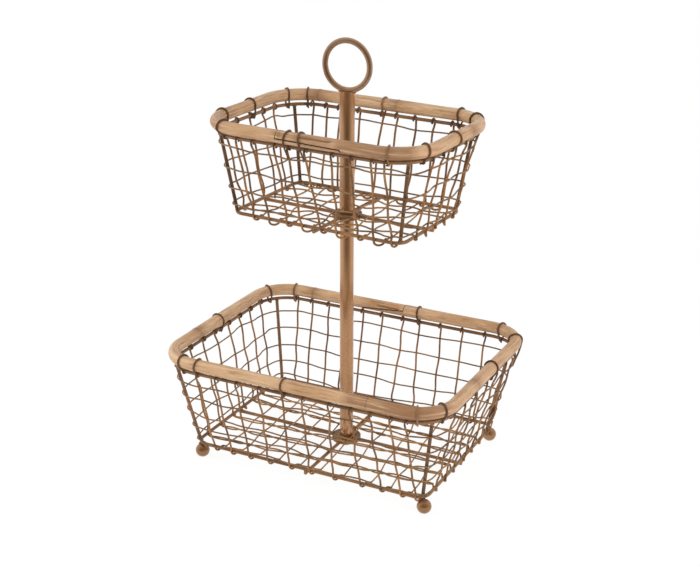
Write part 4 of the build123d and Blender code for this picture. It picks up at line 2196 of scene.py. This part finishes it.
def lower_basket() -> Basket:
    """Describes the lower basket, with its wires where the photograph shows them.

    Returns:
        The basket.
    """
    walls = {
        Side.FRONT: stems((-120, -98, -74, -48, -20, 6, 36, 70, 95, 120, 138),
                          (-125, -100, -73, -44, -13, 12, 44, 70, 94, 118, 136)),
        Side.RIGHT: stems((-75, -50, -26, 4, 28, 52, 77), (-90, -61, -31, 3, 33, 62, 90)),
        Side.BACK: stems((-122, -96, -68, -40, -12, 14, 40, 64, 86, 110, 128),
                         (-123, -93, -64, -35, -13, 16, 43, 67, 92, 116, 137)),
        Side.LEFT: stems((-78, -56, -34, -12, 14, 43, 72), (-98, -72, -46, -20, 12, 38, 66)),
    }
    weave = Weave(
        form=LOWER,
        walls=walls,
        level_shares=(0.05, 0.24, 0.43, 0.63, 0.84),
        long_floor=tuple(FloorWire(near, far, doubled=True)
                         for near, far in ((0, 5), (1, 4), (2, 3), (4, 2), (5, 1), (6, 0))),
        cross_floor=tuple(FloorWire(number, 9 - number) for number in range(10)),
        floor_zigzag=1.7 * MM,
        knob_drift=9.5 * MM,
        loop_drift=10.0 * MM,
        seed=5,
        wound_walls=(Side.LEFT,),
    )
    ties = RimTies(LOWER, (
        Tie(Side.LEFT, angle=74, lean=-1),
        Tie(Side.FRONT, along=-124, lean=2),
        Tie(Side.FRONT, along=-12, lean=1),
        Tie(Side.LEFT, along=3, lean=2),
        Tie(Side.BACK, angle=12, lean=-1, worn=True),
        Tie(Side.BACK, angle=59, lean=2),
        Tie(Side.BACK, along=-35, lean=1),
        Tie(Side.RIGHT, angle=71, lean=2),
        Tie(Side.RIGHT, angle=27, lean=-2, reach=22),
        Tie(Side.RIGHT, along=17, lean=2),
        Tie(Side.FRONT, angle=60, lean=1),
        Tie(Side.FRONT, angle=23, lean=0, worn=True),
    ), seed=11)
    cane = Cane(
        form=LOWER,
        scarf_side=Side.BACK,
        scarf_start=-15 * MM,
        scarf_length=56 * MM,
        scarf_heights=(1.0 * MM, -4.5 * MM),
        growth_rings=((Side.FRONT, 92), (Side.LEFT, 52), (Side.BACK, 112), (Side.RIGHT, -34)),
        seed=2,
        stains=(Stain(Side.FRONT, 66, 185, 0.9), Stain(Side.BACK, -20, 40, 0.4)),
        cracks=(Crack(Side.BACK, -12, 22, 158, 0.7), Crack(Side.BACK, 8, 34, 120, 0.5)),
        chips=(Chip(Side.BACK, -11, 12, 128, 30), Chip(Side.BACK, 16, 31, 140, 26)),
    )
    return Basket(
        weave=weave,
        ties=ties,
        cane=cane,
        welds=Welds(LOWER),
        bedding=BeddingWire(LOWER, Side.FRONT, first=14, last=78),
        dark_posts=("front_right",),
        wraps=(PostWrap(LOWER, Side.RIGHT, share=0.10),),
    )


def upper_basket() -> Basket:
    """Describes the upper basket, with its wires where the photograph shows them.

    Returns:
        The basket.
    """
    walls = {
        Side.FRONT: stems((-78, -57, -34, -14, 10, 30, 56, 76, 97), (-86, -66, -37, -20, 1, 34, 57, 82, 98),
                          loops=(1, 3, 5, 7)),
        Side.RIGHT: stems((-42, -20, 3, 24, 46), (-50, -26, 2, 27, 50), loops=(1, 3)),
        Side.BACK: stems((-82, -62, -38, -15, 8, 34, 56, 77, 95), (-86, -62, -38, -14, 5, 36, 63, 81, 100),
                         loops=(0, 2, 4, 6)),
        Side.LEFT: stems((-44, -22, 2, 24, 44), (-54, -30, -4, 24, 48), loops=(1, 3)),
    }
    weave = Weave(
        form=UPPER,
        walls=walls,
        level_shares=(0.10, 0.33, 0.58, 0.86),
        long_floor=tuple(FloorWire(near, far) for near, far in ((0, 4), (1, 3), (3, 1), (4, 0))),
        cross_floor=tuple(FloorWire(number, 7 - number) for number in range(8)),
        floor_zigzag=2.4 * MM,
        knob_drift=6.0 * MM,
        loop_drift=10.5 * MM,
        seed=8,
        stem_wire=2.5 * MM,
        level_wire=1.9 * MM,
        floor_wire=2.0 * MM,
        stem_wander=1.5 * MM,
    )
    ties = RimTies(UPPER, (
        Tie(Side.LEFT, angle=67, lean=2),
        Tie(Side.LEFT, angle=6, lean=-2),
        Tie(Side.LEFT, along=-6, lean=-2),
        Tie(Side.BACK, angle=56, lean=-2),
        Tie(Side.BACK, angle=24, lean=0),
        Tie(Side.FRONT, along=-20, lean=3, reach=12),
        Tie(Side.FRONT, along=0, lean=-3, reach=12),
        Tie(Side.BACK, along=3, lean=1, worn=True),
        Tie(Side.RIGHT, angle=79, lean=2),
        Tie(Side.RIGHT, angle=44, lean=3, reach=24),
        Tie(Side.RIGHT, along=-4, lean=1),
        Tie(Side.FRONT, angle=66, lean=2),
        Tie(Side.FRONT, angle=18, lean=1, worn=True),
    ), seed=12)
    cane = Cane(
        form=UPPER,
        scarf_side=Side.FRONT,
        scarf_start=-30 * MM,
        scarf_length=80 * MM,
        scarf_heights=(-1.2 * MM, -3.0 * MM),
        growth_rings=((Side.FRONT, -27), (Side.BACK, 92), (Side.BACK, -14), (Side.RIGHT, 30)),
        seed=7,
        stains=(Stain(Side.FRONT, -30, -21, 1.0), Stain(Side.FRONT, -14, 40, 0.75),
                Stain(Side.FRONT, 40, 128, 1.0), Stain(Side.LEFT, 30, 110, 0.6)),
        cracks=(Crack(Side.FRONT, -6, 40, 38), Crack(Side.FRONT, 66, 112, -14)),
        chips=(Chip(Side.FRONT, 16, 36, 70), Chip(Side.FRONT, 40, 54, 76), Chip(Side.FRONT, -14, -4, 78)),
    )
    return Basket(
        weave=weave,
        ties=ties,
        cane=cane,
        welds=Welds(UPPER),
        bedding=BeddingWire(UPPER, Side.FRONT, first=22, last=74),
        dark_posts=CORNERS,
    )


def studio() -> Studio:
    """Describes the light and the camera of the picture.

    Returns:
        The studio.
    """
    lamps = (
        Lamp("left_softbox", (-1.7, -0.7, 0.8), (1.2, 1.8), 16.0),
        Lamp("right_softbox", (2.0, -0.5, 0.8), (1.2, 1.8), 16.0),
        Lamp("front_softbox", (0.9, -1.8, 0.5), (1.6, 0.9), 8.0),
        Lamp("top_softbox", (0.1, -0.3, 2.3), (1.8, 1.8), 1.5),
    )
    return Studio(lamps, Viewpoint())


def main() -> None:
    """Builds the object and the studio in order."""
    logging.basicConfig(level=logging.INFO, format="%(message)s")
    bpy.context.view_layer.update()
    palette = Palette.mixed()
    lower_basket().build(palette)
    upper_basket().build(palette)
    PostAndFeet().build(palette)
    studio().build()


if __name__ == "__main__":
    main()
